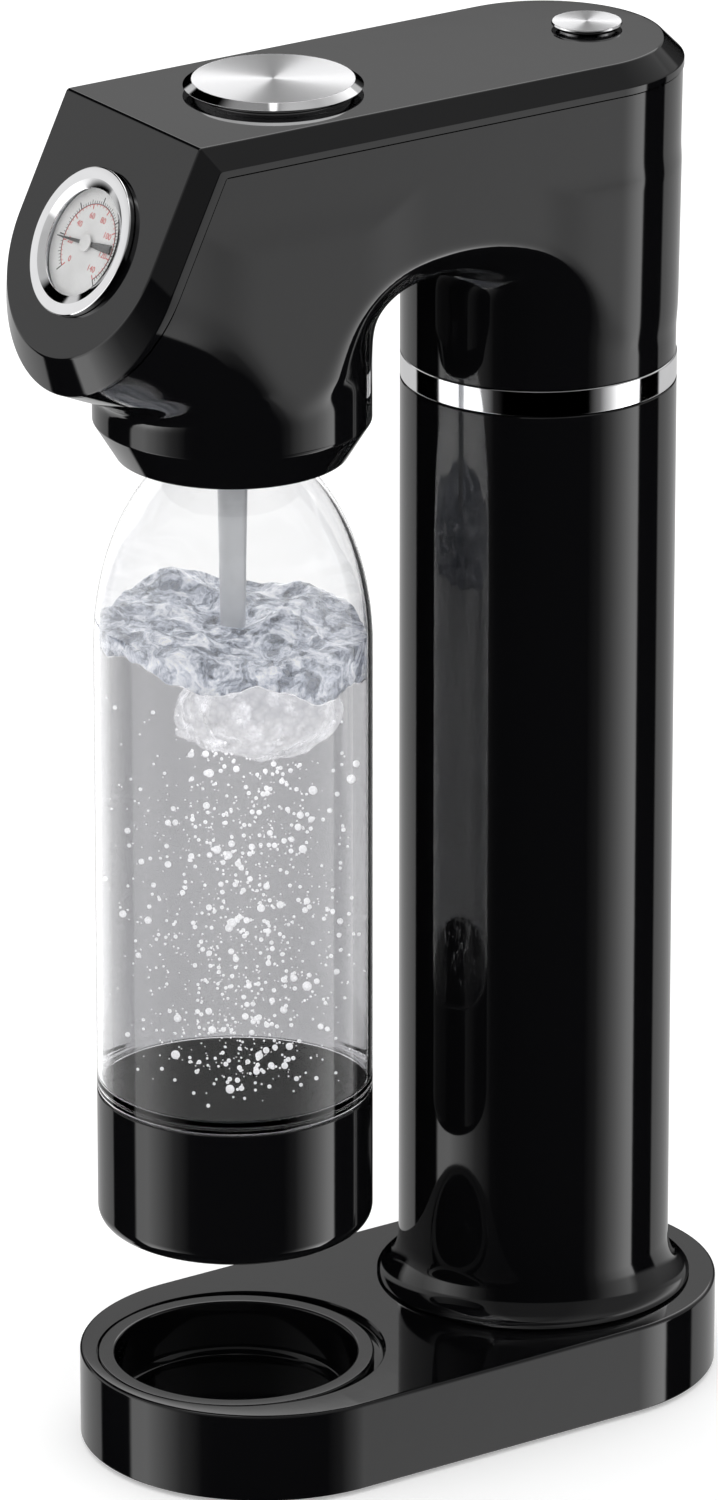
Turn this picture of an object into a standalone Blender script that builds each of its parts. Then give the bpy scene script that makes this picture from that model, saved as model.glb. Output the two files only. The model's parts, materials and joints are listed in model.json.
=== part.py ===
"""Soda carbonator: a table-top machine that gasses a one-litre bottle hanging under its arm.

Metres, +Z up, front towards -Y. The origin is on the table under the middle of the machine.
"""
import math

import bmesh
import bpy
from mathutils import Matrix, Vector

# ---- driving dimensions -------------------------------------------------------------------
GAP = 0.0003                    # between pieces that touch
CLEAR = 0.0005                  # around pieces that slide or turn
WALL = 0.0025                   # moulded casings

COLUMN_RADIUS = 0.0425
BOTTLE_RADIUS = 0.0425
BOTTLE_REACH = 0.1125           # column axis to bottle axis
FOOT_HEIGHT = 0.0015            # rubber feet below the base

BASE_HALF_WIDTH = COLUMN_RADIUS + 0.0142
BASE_HEIGHT = 0.0284
BASE_REAR_OFFSET = 0.0011       # rear arc's centre behind the column axis
BASE_FRONT_OFFSET = 0.0097      # front arc's centre behind the bottle axis
BASE_EDGE = 0.0008
PLATE_THICKNESS = 0.0025

CUP_RIM_RADIUS = BOTTLE_RADIUS + 0.0005
CUP_OPENING_RADIUS = CUP_RIM_RADIUS - 0.0040
CUP_DEPTH = 0.0190
CUP_LIP = 0.0020
CUP_WALL = 0.0015
FOOT_RADIUS = 0.0065
FOOT_SPREAD = 0.040             # feet to either side of the middle
SCREW_SPREAD = 0.046
SCREW_RADIUS = 0.0016
SCREW_HEAD_RADIUS = 0.0030
SCREW_HEAD_TOP = 0.0010
SCREW_LENGTH = 0.0150
SCREW_POST_RADIUS = 0.0045

FLARE_RADIUS = COLUMN_RADIUS + 0.0065
FLARE_HEIGHT = 0.0130
TOP_HEIGHT = 0.4354             # heights from here on are above the base's underside
RING_BOTTOM = TOP_HEIGHT - 0.1076
RING_HEIGHT = 0.0081
COVER_SEAM_HEIGHT = TOP_HEIGHT - 0.0086
TOP_CHAMFER = 0.0062
REAR_DRAFT = 0.0017             # how far the head's rear leans out over its height

FACE_TOP_REACH = BOTTLE_REACH + 0.0348     # column axis to the top edge of the sloping face
FACE_TILT = math.radians(26)    # from vertical
FACE_RADIUS = 0.0360            # flat part's half width, and the radius of its round bottom
FACE_CENTRE = 0.0393            # face top edge to the centre of the round bottom, along the face
FACE_SIDE_DEPTH = 0.0050        # edge band's depth at the sides
FACE_CHIN_DEPTH = 0.0080        # and at the chin
CHIN_DROP = 0.0033              # how far the band's outer arc sits below the flat one's
COVER_FRONT_THICKNESS = 0.0088

SHROUD_RADIUS = BOTTLE_RADIUS - 0.0002
SHROUD_CHAMFER_HEIGHT = TOP_HEIGHT - 0.0987
SHROUD_BOTTOM = TOP_HEIGHT - 0.1114
MOUTH_RADIUS = SHROUD_RADIUS - 0.0078
ARCH_APEX = TOP_HEIGHT - 0.0514
ARCH_SPRING = TOP_HEIGHT - 0.0974
ARCH_HALF_SPAN = BOTTLE_REACH / 2 - 0.00425
NECK_JOIN = TOP_HEIGHT - 0.0634     # where the neck's round bore opens into the arm's hollow

BOTTLE_BOTTOM = 0.0735
BOTTLE_CUP_TOP = 0.1178
BOTTLE_CUP_ROUND = 0.0050
BOTTLE_CUP_WALL = 0.0018
BOTTLE_WALL = 0.0016
SHOULDER_START = TOP_HEIGHT - 0.1734
SHOULDER_HEIGHT = 0.0670
NECK_RADIUS = 0.0150
NECK_TOP = TOP_HEIGHT - 0.0834

NOZZLE_TOP_RADIUS = 0.00475
NOZZLE_END_RADIUS = 0.00365
NOZZLE_TAPER_TOP = TOP_HEIGHT - 0.1154
NOZZLE_END = TOP_HEIGHT - 0.1764
NOZZLE_BORE = 0.0020
NOZZLE_TIP_LENGTH = 0.0045
BLOCK_RADIUS = 0.0200
BLOCK_HEIGHT = 0.0300
BLOCK_SOCKET = 0.0080           # how far the nozzle goes up into the block
SEAL_HEIGHT = 0.0040
COLLAR_TOP = NECK_TOP - 0.0020
COLLAR_LIP = NECK_TOP - 0.0080
COLLAR_BOTTOM = NECK_TOP - 0.0110
VENT_HEIGHT = TOP_HEIGHT - 0.0354   # where the vent pipe runs along the arm

CYLINDER_RADIUS = 0.0300
CYLINDER_BOTTOM = 0.0070
CYLINDER_NECK_RADIUS = 0.0125
CYLINDER_SHOULDER = TOP_HEIGHT - 0.1174
GUIDE_HEIGHT = 0.0600
GUIDE_THICKNESS = 0.0060
VALVE_RADIUS = 0.0105
VALVE_BOTTOM = TOP_HEIGHT - 0.0934
VALVE_TOP = TOP_HEIGHT - 0.0694
SOCKET_HUB_RADIUS = 0.0160
SOCKET_TOP = TOP_HEIGHT - 0.0594
SOCKET_FLANGE_TOP = TOP_HEIGHT - 0.0774
SOCKET_FLANGE_BOTTOM = TOP_HEIGHT - 0.0814
HATCH_RADIUS = CYLINDER_RADIUS + 0.0030
HATCH_TOP = 0.0050

LEVER_BOTTOM = TOP_HEIGHT - 0.0364
LEVER_THICKNESS = 0.0050
LEVER_WIDTH = 0.0140
PIVOT_REACH = 0.0290            # lever's pivot behind the column axis
PIVOT_RADIUS = 0.0020
PIVOT_PLAY = 0.0003
BRACKET_WALL = 0.0025
BRACKET_BOTTOM = SOCKET_FLANGE_TOP + GAP
PIN_RADIUS = 0.0020

BUTTON_REACH = BOTTLE_REACH - 0.0152           # column axis to the carbonating button's axis
BUTTON_RADIUS = 0.0272
BUTTON_NECK_RADIUS = 0.0238
BUTTON_TOP = TOP_HEIGHT + 0.0036
BUTTON_CAP = 0.0020
BUTTON_BEVEL = 0.0026
BEVEL_SLOPE = 0.65              # height of a button's bevel over its width
BUTTON_TRAVEL = 0.0012
STEM_RADIUS = 0.0050
HOUSING_FLOOR = TOP_HEIGHT - 0.0214
RELEASE_OFFSET = 0.0173         # release button's axis behind the column axis
RELEASE_RADIUS = 0.0108
RELEASE_NECK_RADIUS = 0.0090
RELEASE_TOP = TOP_HEIGHT + 0.0019
RELEASE_CAP = 0.0009
RELEASE_BEVEL = 0.0002
RELEASE_TRAVEL = 0.0006
RELEASE_BODY_RADIUS = 0.0100
RELEASE_BODY_BOTTOM = TOP_HEIGHT - 0.0294
RELEASE_STEM_RADIUS = 0.0030

GAUGE_DROP = 0.0397             # face top edge to the gauge's centre, along the face
GAUGE_RADIUS = 0.0230
GAUGE_CONE_RADIUS = 0.0192      # the bezel's flat front ends and its inner cone starts
GAUGE_WINDOW_RADIUS = 0.0166
GAUGE_CASE_RADIUS = 0.0190
GAUGE_PROUD = 0.0021
GAUGE_CONE_DEPTH = 0.0008
GAUGE_DIAL_DEPTH = 0.0035
GAUGE_DEPTH = 0.0200
LENS_LOW = 0.0002               # the lens stands between the case and the bezel's lip
LENS_THICKNESS = 0.0004
NEEDLE_LENGTH = 0.0148
NEEDLE_TAIL = 0.0117
NEEDLE_THICKNESS = 0.0004
NEEDLE_ANGLE = math.radians(185.5)
HUB_RADIUS = 0.0026

PIPE_RADIUS = 0.0022
VENT_RADIUS = 0.0016
GAUGE_PIPE_RADIUS = 0.0015
SPRING_WIRE = 0.0005
FINE = 40                       # segments round the large turned pieces
MEDIUM = 24
SMALL = 14

# ---- worked-out places --------------------------------------------------------------------
FACE_BOTTOM = FACE_CENTRE + FACE_RADIUS
HEAD_REACH = FACE_TOP_REACH + FACE_BOTTOM * math.sin(FACE_TILT)
BASE_REACH = BASE_HALF_WIDTH + BASE_REAR_OFFSET
COLUMN_Y = (HEAD_REACH - BASE_REACH) / 2
BOTTLE_Y = COLUMN_Y - BOTTLE_REACH
BUTTON_Y = COLUMN_Y - BUTTON_REACH
RELEASE_Y = COLUMN_Y + RELEASE_OFFSET
PIVOT_Y = COLUMN_Y + PIVOT_REACH
RING_TOP = RING_BOTTOM + RING_HEIGHT
BODY_HALF_WIDTH = COLUMN_RADIUS
FACE_ORIGIN = Vector((0, COLUMN_Y - FACE_TOP_REACH, TOP_HEIGHT + FOOT_HEIGHT))
FACE_NORMAL = Vector((0, -math.cos(FACE_TILT), math.sin(FACE_TILT)))
FACE_DOWN = Vector((0, -math.sin(FACE_TILT), -math.cos(FACE_TILT)))
GAUGE_CENTRE = FACE_ORIGIN + FACE_DOWN * GAUGE_DROP
GAUGE_TURN = Matrix((Vector((1, 0, 0)), -FACE_DOWN, FACE_NORMAL)).transposed()
LEVER_TOP = LEVER_BOTTOM + LEVER_THICKNESS
BLOCK_BOTTOM = NECK_TOP + GAP + SEAL_HEIGHT + GAP
BLOCK_TOP = BLOCK_BOTTOM + BLOCK_HEIGHT
PLATE_TOP = PLATE_THICKNESS
MIDDLE_Y = (COLUMN_Y + BOTTLE_Y) / 2
FOOT_PLACES = {
    "rear_left": (-FOOT_SPREAD, COLUMN_Y + 0.018),
    "rear_right": (FOOT_SPREAD, COLUMN_Y + 0.018),
    "front_left": (-FOOT_SPREAD, BOTTLE_Y - 0.014),
    "front_right": (FOOT_SPREAD, BOTTLE_Y - 0.014),
}
SCREW_PLACES = [(x, MIDDLE_Y + y) for x in (-SCREW_SPREAD, SCREW_SPREAD) for y in (-0.016, 0.016)]
FAR = 0.300                     # reach of a cutter past everything
ABOVE = TOP_HEIGHT + 0.05       # clear of the top
UNDER_ARM = 0.2                 # well below the arm
NESTED = 0.0006                 # keeps a joined cylinder just inside the wall it follows

for old in list(bpy.data.objects):
    bpy.data.objects.remove(old, do_unlink=True)

PARTS = bpy.data.collections.new("soda_carbonator")
CUTTERS = bpy.data.collections.new("cutters")
for group in (PARTS, CUTTERS):
    bpy.context.scene.collection.children.link(group)


# ---- materials ----------------------------------------------------------------------------
def material(name, colour, roughness, metallic=0.0, transmission=0.0):
    made = bpy.data.materials.new(name)
    made.use_nodes = True
    shader = made.node_tree.nodes["Principled BSDF"]
    shader.inputs["Base Color"].default_value = (*colour, 1)
    shader.inputs["Roughness"].default_value = roughness
    shader.inputs["Metallic"].default_value = metallic
    shader.inputs["Transmission Weight"].default_value = transmission
    return made


GLOSS_BLACK = material("gloss_black", (0.006, 0.006, 0.007), 0.08)
CHROME = material("chrome", (0.86, 0.87, 0.88), 0.06, 1.0)
BRUSHED = material("brushed_steel", (0.72, 0.72, 0.73), 0.25, 1.0)
BRASS = material("brass", (0.71, 0.53, 0.24), 0.3, 1.0)
STEEL = material("steel", (0.55, 0.56, 0.58), 0.35, 1.0)
INNER_PLASTIC = material("inner_plastic", (0.03, 0.03, 0.032), 0.5)
GREY_PLASTIC = material("grey_plastic", (0.32, 0.33, 0.35), 0.4)
RUBBER = material("rubber", (0.02, 0.02, 0.02), 0.8)
CYLINDER_PAINT = material("cylinder_paint", (0.35, 0.37, 0.40), 0.35, 0.6)
CLEAR_PLASTIC = material("clear_plastic", (0.85, 0.87, 0.88), 0.03, 0.0, 1.0)
DIAL_PAPER = material("dial_print", (0.80, 0.80, 0.78), 0.5)
NEEDLE_BLACK = material("needle_black", (0.02, 0.02, 0.02), 0.5)


# ---- modelling helpers --------------------------------------------------------------------
def add(name, mesh, place=(0, 0, 0), finish=None):
    """A named piece in the machine's collection, or a hidden cutter where it has no finish."""
    made = bpy.data.objects.new(name, mesh)
    made.location = place
    if finish is None:
        CUTTERS.objects.link(made)
        made.hide_render = True
        made.display_type = "WIRE"
        return made
    mesh.materials.clear()
    mesh.materials.append(finish)
    PARTS.objects.link(made)
    return made


def turned(name, profile, y=0.0, finish=None, segments=FINE):
    """Turns (radius, height) points round Z at (0, y). They run down the outer side, top to bottom.

    A profile that starts and ends on the axis is left open there; any other one is a closed ring.
    """
    solid_core = profile[0][0] == 0 and profile[-1][0] == 0
    count = len(profile)
    edges = [(i, i + 1) for i in range(count - 1)]
    if not solid_core:
        edges.append((count - 1, 0))
    mesh = bpy.data.meshes.new(name)
    mesh.from_pydata([(r, 0, z + FOOT_HEIGHT) for r, z in profile], edges, [])
    made = add(name, mesh, (0, y, 0), finish)
    screw = made.modifiers.new("turn", "SCREW")
    screw.steps = screw.render_steps = segments
    screw.use_merge_vertices = True
    screw.merge_threshold = 0.00001
    screw.use_smooth_shade = True
    return made


def disc(radius, low, high):
    """Profile of a plain solid cylinder."""
    return [(0, high), (radius, high), (radius, low), (0, low)]


def tube(outer, inner, low, high):
    """Profile of a plain tube."""
    return [(outer, high), (outer, low), (inner, low), (inner, high)]


def arc(centre, radius, start, end, count):
    """Points along an arc, in degrees anticlockwise from +X."""
    angles = [math.radians(start + (end - start) * i / count) for i in range(count + 1)]
    return [(centre[0] + radius * math.cos(a), centre[1] + radius * math.sin(a)) for a in angles]


def circle(radius, count=16):
    """A full circle's outline."""
    return arc((0, 0), radius, 0, 360 * (count - 1) / count, count - 1)


def prism(name, outline, low, high, turn=None, finish=None):
    """Extrudes a flat outline between two heights of its own Z, then turns it into place."""
    curve = bpy.data.curves.new(name, "CURVE")
    curve.dimensions = "2D"
    curve.fill_mode = "BOTH"
    curve.extrude = (high - low) / 2
    spline = curve.splines.new("POLY")
    spline.points.add(len(outline) - 1)
    for point, (u, v) in zip(spline.points, outline):
        point.co = (u, v, 0, 1)
    spline.use_cyclic_u = True
    flat = bpy.data.objects.new(name, curve)
    bpy.context.scene.collection.objects.link(flat)
    graph = bpy.context.evaluated_depsgraph_get()
    mesh = bpy.data.meshes.new_from_object(flat.evaluated_get(graph))
    bpy.data.objects.remove(flat, do_unlink=True)
    work = bmesh.new()
    work.from_mesh(mesh)
    bmesh.ops.remove_doubles(work, verts=work.verts, dist=0.000001)
    bmesh.ops.translate(work, verts=work.verts, vec=(0, 0, (high + low) / 2))
    bmesh.ops.transform(work, verts=work.verts, matrix=(turn or Matrix()))
    bmesh.ops.recalc_face_normals(work, faces=work.faces)
    work.to_mesh(mesh)
    work.free()
    return add(name, mesh, finish=finish)


def loft(name, loops, finish=None):
    """Joins closed loops of equally many points into a capped solid, for unlike sections."""
    work = bmesh.new()
    rings = [[work.verts.new(point) for point in loop] for loop in loops]
    for first, second in zip(rings, rings[1:]):
        for i in range(len(first)):
            j = (i + 1) % len(first)
            work.faces.new((first[i], first[j], second[j], second[i]))
    work.faces.new(rings[0])
    work.faces.new(rings[-1])
    bmesh.ops.triangulate(work, faces=work.faces)
    bmesh.ops.recalc_face_normals(work, faces=work.faces)
    mesh = bpy.data.meshes.new(name)
    work.to_mesh(mesh)
    work.free()
    return add(name, mesh, finish=finish)


def box(name, low, high, finish=None):
    """A block between two opposite corners."""
    work = bmesh.new()
    bmesh.ops.create_cube(work, size=1)
    size = Vector(high) - Vector(low)
    middle = (Vector(high) + Vector(low)) / 2
    placed = Matrix.Translation(middle) @ Matrix.Diagonal((*size, 1))
    bmesh.ops.transform(work, verts=work.verts, matrix=placed)
    mesh = bpy.data.meshes.new(name)
    work.to_mesh(mesh)
    work.free()
    return add(name, mesh, finish=finish)


def combine(target, other, operation="DIFFERENCE"):
    """Adds one Boolean to the target."""
    cut = target.modifiers.new(other.name, "BOOLEAN")
    cut.operation = operation
    cut.solver = "EXACT"
    cut.object = other
    return target


def pipe(name, points, radius, finish, sides=2):
    """A round pipe along a smooth route."""
    curve = bpy.data.curves.new(name, "CURVE")
    curve.dimensions = "3D"
    curve.bevel_depth = radius
    curve.bevel_resolution = sides
    curve.use_fill_caps = True
    curve.resolution_u = 4
    spline = curve.splines.new("BEZIER")
    spline.bezier_points.add(len(points) - 1)
    for point, place in zip(spline.bezier_points, points):
        point.co = place
        point.handle_left_type = point.handle_right_type = "AUTO"
    curve.materials.append(finish)
    made = bpy.data.objects.new(name, curve)
    PARTS.objects.link(made)
    return made


def coil(name, centre_y, low, high, radius, wire, turns, finish):
    """A compression spring about a vertical axis."""
    curve = bpy.data.curves.new(name, "CURVE")
    curve.dimensions = "3D"
    curve.bevel_depth = wire
    curve.bevel_resolution = 1
    curve.use_fill_caps = True
    per_turn = 10
    count = turns * per_turn
    spline = curve.splines.new("POLY")
    spline.points.add(count)
    bottom = low + wire + FOOT_HEIGHT
    rise = (high - low - 2 * wire) / count
    for i, point in enumerate(spline.points):
        angle = 2 * math.pi * i / per_turn
        point.co = (radius * math.cos(angle), radius * math.sin(angle), bottom + rise * i, 1)
    curve.materials.append(finish)
    made = bpy.data.objects.new(name, curve)
    made.location = (0, centre_y, 0)
    PARTS.objects.link(made)
    return made


def at(x, y, height):
    """A point given by its height above the base's underside."""
    return (x, y, height + FOOT_HEIGHT)


# ---- base ---------------------------------------------------------------------------------
def stadium(inset):
    """Base outline: two arcs joined by straight sides."""
    radius = BASE_HALF_WIDTH - inset
    rear = arc((0, COLUMN_Y + BASE_REAR_OFFSET), radius, 0, 180, MEDIUM)
    front = arc((0, BOTTLE_Y + BASE_FRONT_OFFSET), radius, 180, 360, MEDIUM)
    return rear + front


def base():
    shell = prism("base_shell", stadium(0), FOOT_HEIGHT, BASE_HEIGHT + FOOT_HEIGHT, finish=GLOSS_BLACK)
    edge = shell.modifiers.new("edge", "BEVEL")
    edge.width = BASE_EDGE
    edge.segments = 1
    edge.angle_limit = math.radians(60)
    hollow_top = BASE_HEIGHT - WALL + FOOT_HEIGHT
    combine(shell, prism("base_hollow", stadium(WALL), -FAR, hollow_top))
    well = turned("base_well", disc(CUP_RIM_RADIUS + CLEAR, -FAR, BASE_HEIGHT + FAR), BOTTLE_Y)
    combine(shell, well)
    ledge_top = BASE_HEIGHT - CUP_LIP - GAP
    ledge = turned(
        "base_ledge",
        [
            (CUP_RIM_RADIUS + CLEAR + WALL, BASE_HEIGHT - BASE_EDGE),
            (CUP_RIM_RADIUS + CLEAR + WALL, ledge_top - WALL),
            (CUP_OPENING_RADIUS, ledge_top - WALL),
            (CUP_OPENING_RADIUS, ledge_top),
            (CUP_RIM_RADIUS + CLEAR, ledge_top),
            (CUP_RIM_RADIUS + CLEAR, BASE_HEIGHT - BASE_EDGE),
        ],
        BOTTLE_Y,
    )
    combine(shell, ledge, "UNION")
    combine(shell, turned("column_way", disc(HATCH_RADIUS + 0.001, -FAR, BASE_HEIGHT + FAR), COLUMN_Y))
    for number, (x, y) in enumerate(SCREW_PLACES, 1):
        post = turned(f"screw_post_{number}", disc(SCREW_POST_RADIUS, PLATE_TOP + GAP,
                                                   BASE_HEIGHT - WALL / 2), y)
        post.location.x = x
        combine(shell, post, "UNION")
    for number, (x, y) in enumerate(SCREW_PLACES, 1):
        bore = disc(SCREW_RADIUS + GAP, -FAR, SCREW_LENGTH + 0.001)
        hole = turned(f"screw_hole_{number}", bore, y, segments=SMALL)
        hole.location.x = x
        combine(shell, hole)

    plate = prism(
        "base_bottom_plate", stadium(WALL + CLEAR), FOOT_HEIGHT, PLATE_TOP + FOOT_HEIGHT, finish=INNER_PLASTIC
    )
    combine(plate, turned("hatch_hole", disc(HATCH_RADIUS + CLEAR, -FAR, FAR), COLUMN_Y))
    for number, (x, y) in enumerate(SCREW_PLACES, 1):
        recess = turned(
            f"screw_recess_{number}",
            [
                (0, FAR), (SCREW_RADIUS + GAP, FAR), (SCREW_RADIUS + GAP, SCREW_HEAD_TOP + 0.0002),
                (SCREW_HEAD_RADIUS + GAP, SCREW_HEAD_TOP + 0.0002), (SCREW_HEAD_RADIUS + GAP, -FAR),
                (0, -FAR),
            ],
            y,
            segments=SMALL,
        )
        recess.location.x = x
        combine(plate, recess)
        screw = turned(
            f"base_screw_{number}",
            [
                (0, SCREW_LENGTH), (SCREW_RADIUS, SCREW_LENGTH - 0.001), (SCREW_RADIUS, SCREW_HEAD_TOP),
                (SCREW_HEAD_RADIUS, SCREW_HEAD_TOP), (SCREW_HEAD_RADIUS, 0.0001), (0, 0.0001),
            ],
            y,
            STEEL,
            SMALL,
        )
        screw.location.x = x

    hatch = turned(
        "cylinder_hatch",
        [
            (0, HATCH_TOP), (HATCH_RADIUS - 0.004, HATCH_TOP), (HATCH_RADIUS - 0.004, PLATE_TOP),
            (HATCH_RADIUS, PLATE_TOP), (HATCH_RADIUS, GAP), (0, GAP),
        ],
        COLUMN_Y,
        INNER_PLASTIC,
    )
    grip_low = (-0.018, COLUMN_Y - 0.004, FOOT_HEIGHT - 0.002)
    grip_high = (0.018, COLUMN_Y + 0.004, FOOT_HEIGHT + 0.0025)
    combine(hatch, box("hatch_grip", grip_low, grip_high))

    for name, (x, y) in FOOT_PLACES.items():
        foot = turned(f"foot_{name}", disc(FOOT_RADIUS, -FOOT_HEIGHT, -GAP), y, RUBBER, SMALL)
        foot.location.x = x


def drip_cup():
    floor = BASE_HEIGHT - CUP_DEPTH
    body = CUP_OPENING_RADIUS - CLEAR
    inner = body - CUP_WALL
    turned(
        "drip_cup",
        [
            (CUP_RIM_RADIUS, BASE_HEIGHT),
            (CUP_RIM_RADIUS, BASE_HEIGHT - CUP_LIP),
            (body, BASE_HEIGHT - CUP_LIP),
            (body, floor + 0.003),
            (body - 0.003, floor),
            (0, floor),
            (0, floor + CUP_WALL),
            (inner - 0.003, floor + CUP_WALL),
            (inner, floor + CUP_WALL + 0.003),
            (inner, BASE_HEIGHT - 0.001),
            (inner + 0.001, BASE_HEIGHT),
        ],
        BOTTLE_Y,
        GLOSS_BLACK,
    )


# ---- column and gas cylinder --------------------------------------------------------------
def column():
    foot = BASE_HEIGHT + GAP
    inner = COLUMN_RADIUS - WALL
    outside = FLARE_RADIUS + 0.0015
    flare = arc((outside, foot + FLARE_HEIGHT), outside - COLUMN_RADIUS, 180, 262, 6)
    ends = [(FLARE_RADIUS, foot), (inner, foot), (inner, RING_BOTTOM - GAP)]
    turned(
        "column_shell",
        [(COLUMN_RADIUS, RING_BOTTOM - GAP)] + flare + ends,
        COLUMN_Y,
        GLOSS_BLACK,
    )
    turned("chrome_ring", tube(COLUMN_RADIUS, inner, RING_BOTTOM, RING_TOP), COLUMN_Y, CHROME)
    guide_outer = inner - GAP
    guide = tube(guide_outer, CYLINDER_RADIUS + CLEAR, GUIDE_HEIGHT, GUIDE_HEIGHT + GUIDE_THICKNESS)
    turned("cylinder_guide", guide, COLUMN_Y, INNER_PLASTIC)


def gas_cylinder():
    corner = 0.006
    round_bottom = arc((CYLINDER_RADIUS - corner, CYLINDER_BOTTOM + corner), corner, 0, -90, 4)
    dome = CYLINDER_RADIUS - 0.010
    shoulder = arc((CYLINDER_RADIUS - dome, CYLINDER_SHOULDER), dome, 70, 0, 6)
    neck = CYLINDER_NECK_RADIUS
    turned(
        "co2_cylinder",
        [(0, VALVE_BOTTOM - GAP), (neck, VALVE_BOTTOM - GAP), (neck, CYLINDER_SHOULDER + dome - 0.0004)]
        + shoulder + round_bottom + [(0, CYLINDER_BOTTOM)],
        COLUMN_Y,
        CYLINDER_PAINT,
        MEDIUM,
    )
    turned(
        "cylinder_valve",
        [
            (0, VALVE_TOP - 0.006), (0.0035, VALVE_TOP - 0.006), (0.0035, VALVE_TOP),
            (VALVE_RADIUS - 0.001, VALVE_TOP),
            (VALVE_RADIUS, VALVE_TOP - 0.001), (VALVE_RADIUS, VALVE_BOTTOM + 0.006),
            (CYLINDER_NECK_RADIUS, VALVE_BOTTOM + 0.006), (CYLINDER_NECK_RADIUS, VALVE_BOTTOM),
            (0, VALVE_BOTTOM),
        ],
        COLUMN_Y,
        BRASS,
        MEDIUM,
    )
    neck_inner = COLUMN_RADIUS - WALL - NESTED
    turned(
        "cylinder_socket",
        [
            (SOCKET_HUB_RADIUS, SOCKET_TOP), (SOCKET_HUB_RADIUS, SOCKET_FLANGE_TOP),
            (neck_inner - CLEAR, SOCKET_FLANGE_TOP), (neck_inner - CLEAR, SOCKET_FLANGE_BOTTOM),
            (VALVE_RADIUS + CLEAR, SOCKET_FLANGE_BOTTOM), (VALVE_RADIUS + CLEAR, VALVE_TOP + 0.003),
            (PIN_RADIUS + CLEAR, VALVE_TOP + 0.003), (PIN_RADIUS + CLEAR, SOCKET_TOP),
        ],
        COLUMN_Y,
        STEEL,
        MEDIUM,
    )
    turned("valve_pin", disc(PIN_RADIUS, VALVE_TOP - 0.0035, LEVER_BOTTOM - GAP), COLUMN_Y, STEEL, SMALL)


def lever():
    """The lever hangs on a cross pin behind the cylinder and lies under the button's stem."""
    pivot = at(0, PIVOT_Y, (LEVER_BOTTOM + LEVER_TOP) / 2)
    front = BUTTON_Y - 0.009
    shaft = 0.0035 + LEVER_THICKNESS / 2
    bar = box(
        "valve_lever",
        at(-LEVER_WIDTH / 2, front, LEVER_BOTTOM),
        at(LEVER_WIDTH / 2, PIVOT_Y + shaft, LEVER_TOP),
        STEEL,
    )
    across = Matrix.Translation(pivot) @ Matrix.Rotation(math.pi / 2, 4, "Y")
    hole_outline = circle(PIVOT_RADIUS + PIVOT_PLAY)
    combine(bar, prism("lever_pivot_hole", hole_outline, -FAR, FAR, across))
    bar.data.transform(Matrix.Translation(-Vector(pivot)))
    bar.location = pivot
    pin_outline = circle(PIVOT_RADIUS)
    slot_half = LEVER_WIDTH / 2 + CLEAR
    ear_outer = slot_half + BRACKET_WALL
    prism("lever_pin", pin_outline, -ear_outer - 0.001, ear_outer + 0.001, across, STEEL)

    ears = box(
        "lever_bracket",
        at(-ear_outer, PIVOT_Y - 0.007, BRACKET_BOTTOM),
        at(ear_outer, PIVOT_Y + 0.006, LEVER_TOP + 0.0015),
        STEEL,
    )
    slot_low = at(-slot_half, PIVOT_Y - 0.02, BRACKET_BOTTOM + BRACKET_WALL + CLEAR)
    slot_high = at(slot_half, PIVOT_Y + 0.02, ABOVE)
    combine(ears, box("bracket_slot", slot_low, slot_high))
    combine(ears, prism("bracket_pivot_hole", circle(PIVOT_RADIUS + PIVOT_PLAY), -FAR, FAR, across))


# ---- head ---------------------------------------------------------------------------------
def face_point(x, down, behind):
    """A point given in the sloping face's own directions."""
    return FACE_ORIGIN + Vector((x, 0, 0)) + FACE_DOWN * down - FACE_NORMAL * behind


def face_outline(radius, centre, behind, chin_behind=None):
    """A U on the sloping face; its band may run deeper towards the chin."""
    chin_behind = behind if chin_behind is None else chin_behind
    above = -FAR
    loop = [face_point(radius, above, behind)]
    for x, down in arc((0, centre), radius, 0, 180, MEDIUM):
        share = max(0, (down - centre) / radius)
        loop.append(face_point(x, down, behind + (chin_behind - behind) * share))
    loop.append(face_point(-radius, above, behind))
    return loop


def plan_outline(half_width, rear_centre, height):
    """A slot in plan: round at the rear, running past the face at the front."""
    loop = [(half_width, COLUMN_Y - FAR)]
    loop += arc((0, COLUMN_Y + rear_centre), half_width, 0, 180, MEDIUM)
    loop += [(-half_width, COLUMN_Y - FAR)]
    return [at(x, y, height) for x, y in loop]


def head_block(name, inset, finish=None):
    """The head without its arch and shroud: a tapering slot cut by the sloping, chamfered face."""
    wide = BODY_HALF_WIDTH - inset
    plan = [
        plan_outline(wide, 0, RING_TOP - 0.036),
        plan_outline(wide, 0, RING_TOP + GAP),
        plan_outline(wide, REAR_DRAFT, TOP_HEIGHT - TOP_CHAMFER),
        plan_outline(wide - TOP_CHAMFER, REAR_DRAFT, TOP_HEIGHT - inset),
    ]
    face = [
        face_outline(FACE_RADIUS - inset, FACE_CENTRE, inset),
        face_outline(wide, FACE_CENTRE + CHIN_DROP, FACE_SIDE_DEPTH + inset, FACE_CHIN_DEPTH + inset),
        face_outline(wide, FACE_CENTRE + CHIN_DROP, FAR),
    ]
    block = loft(name, plan, finish)
    return combine(block, loft(name + "_face", face), "INTERSECT")


def side_prism(name, outline, half_width=FAR):
    """A (y, height) outline extruded across the machine."""
    turn = Matrix(((0, 0, 1, 0), (1, 0, 0, 0), (0, 1, 0, FOOT_HEIGHT), (0, 0, 0, 1)))
    return prism(name, outline, -half_width, half_width, turn)


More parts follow.
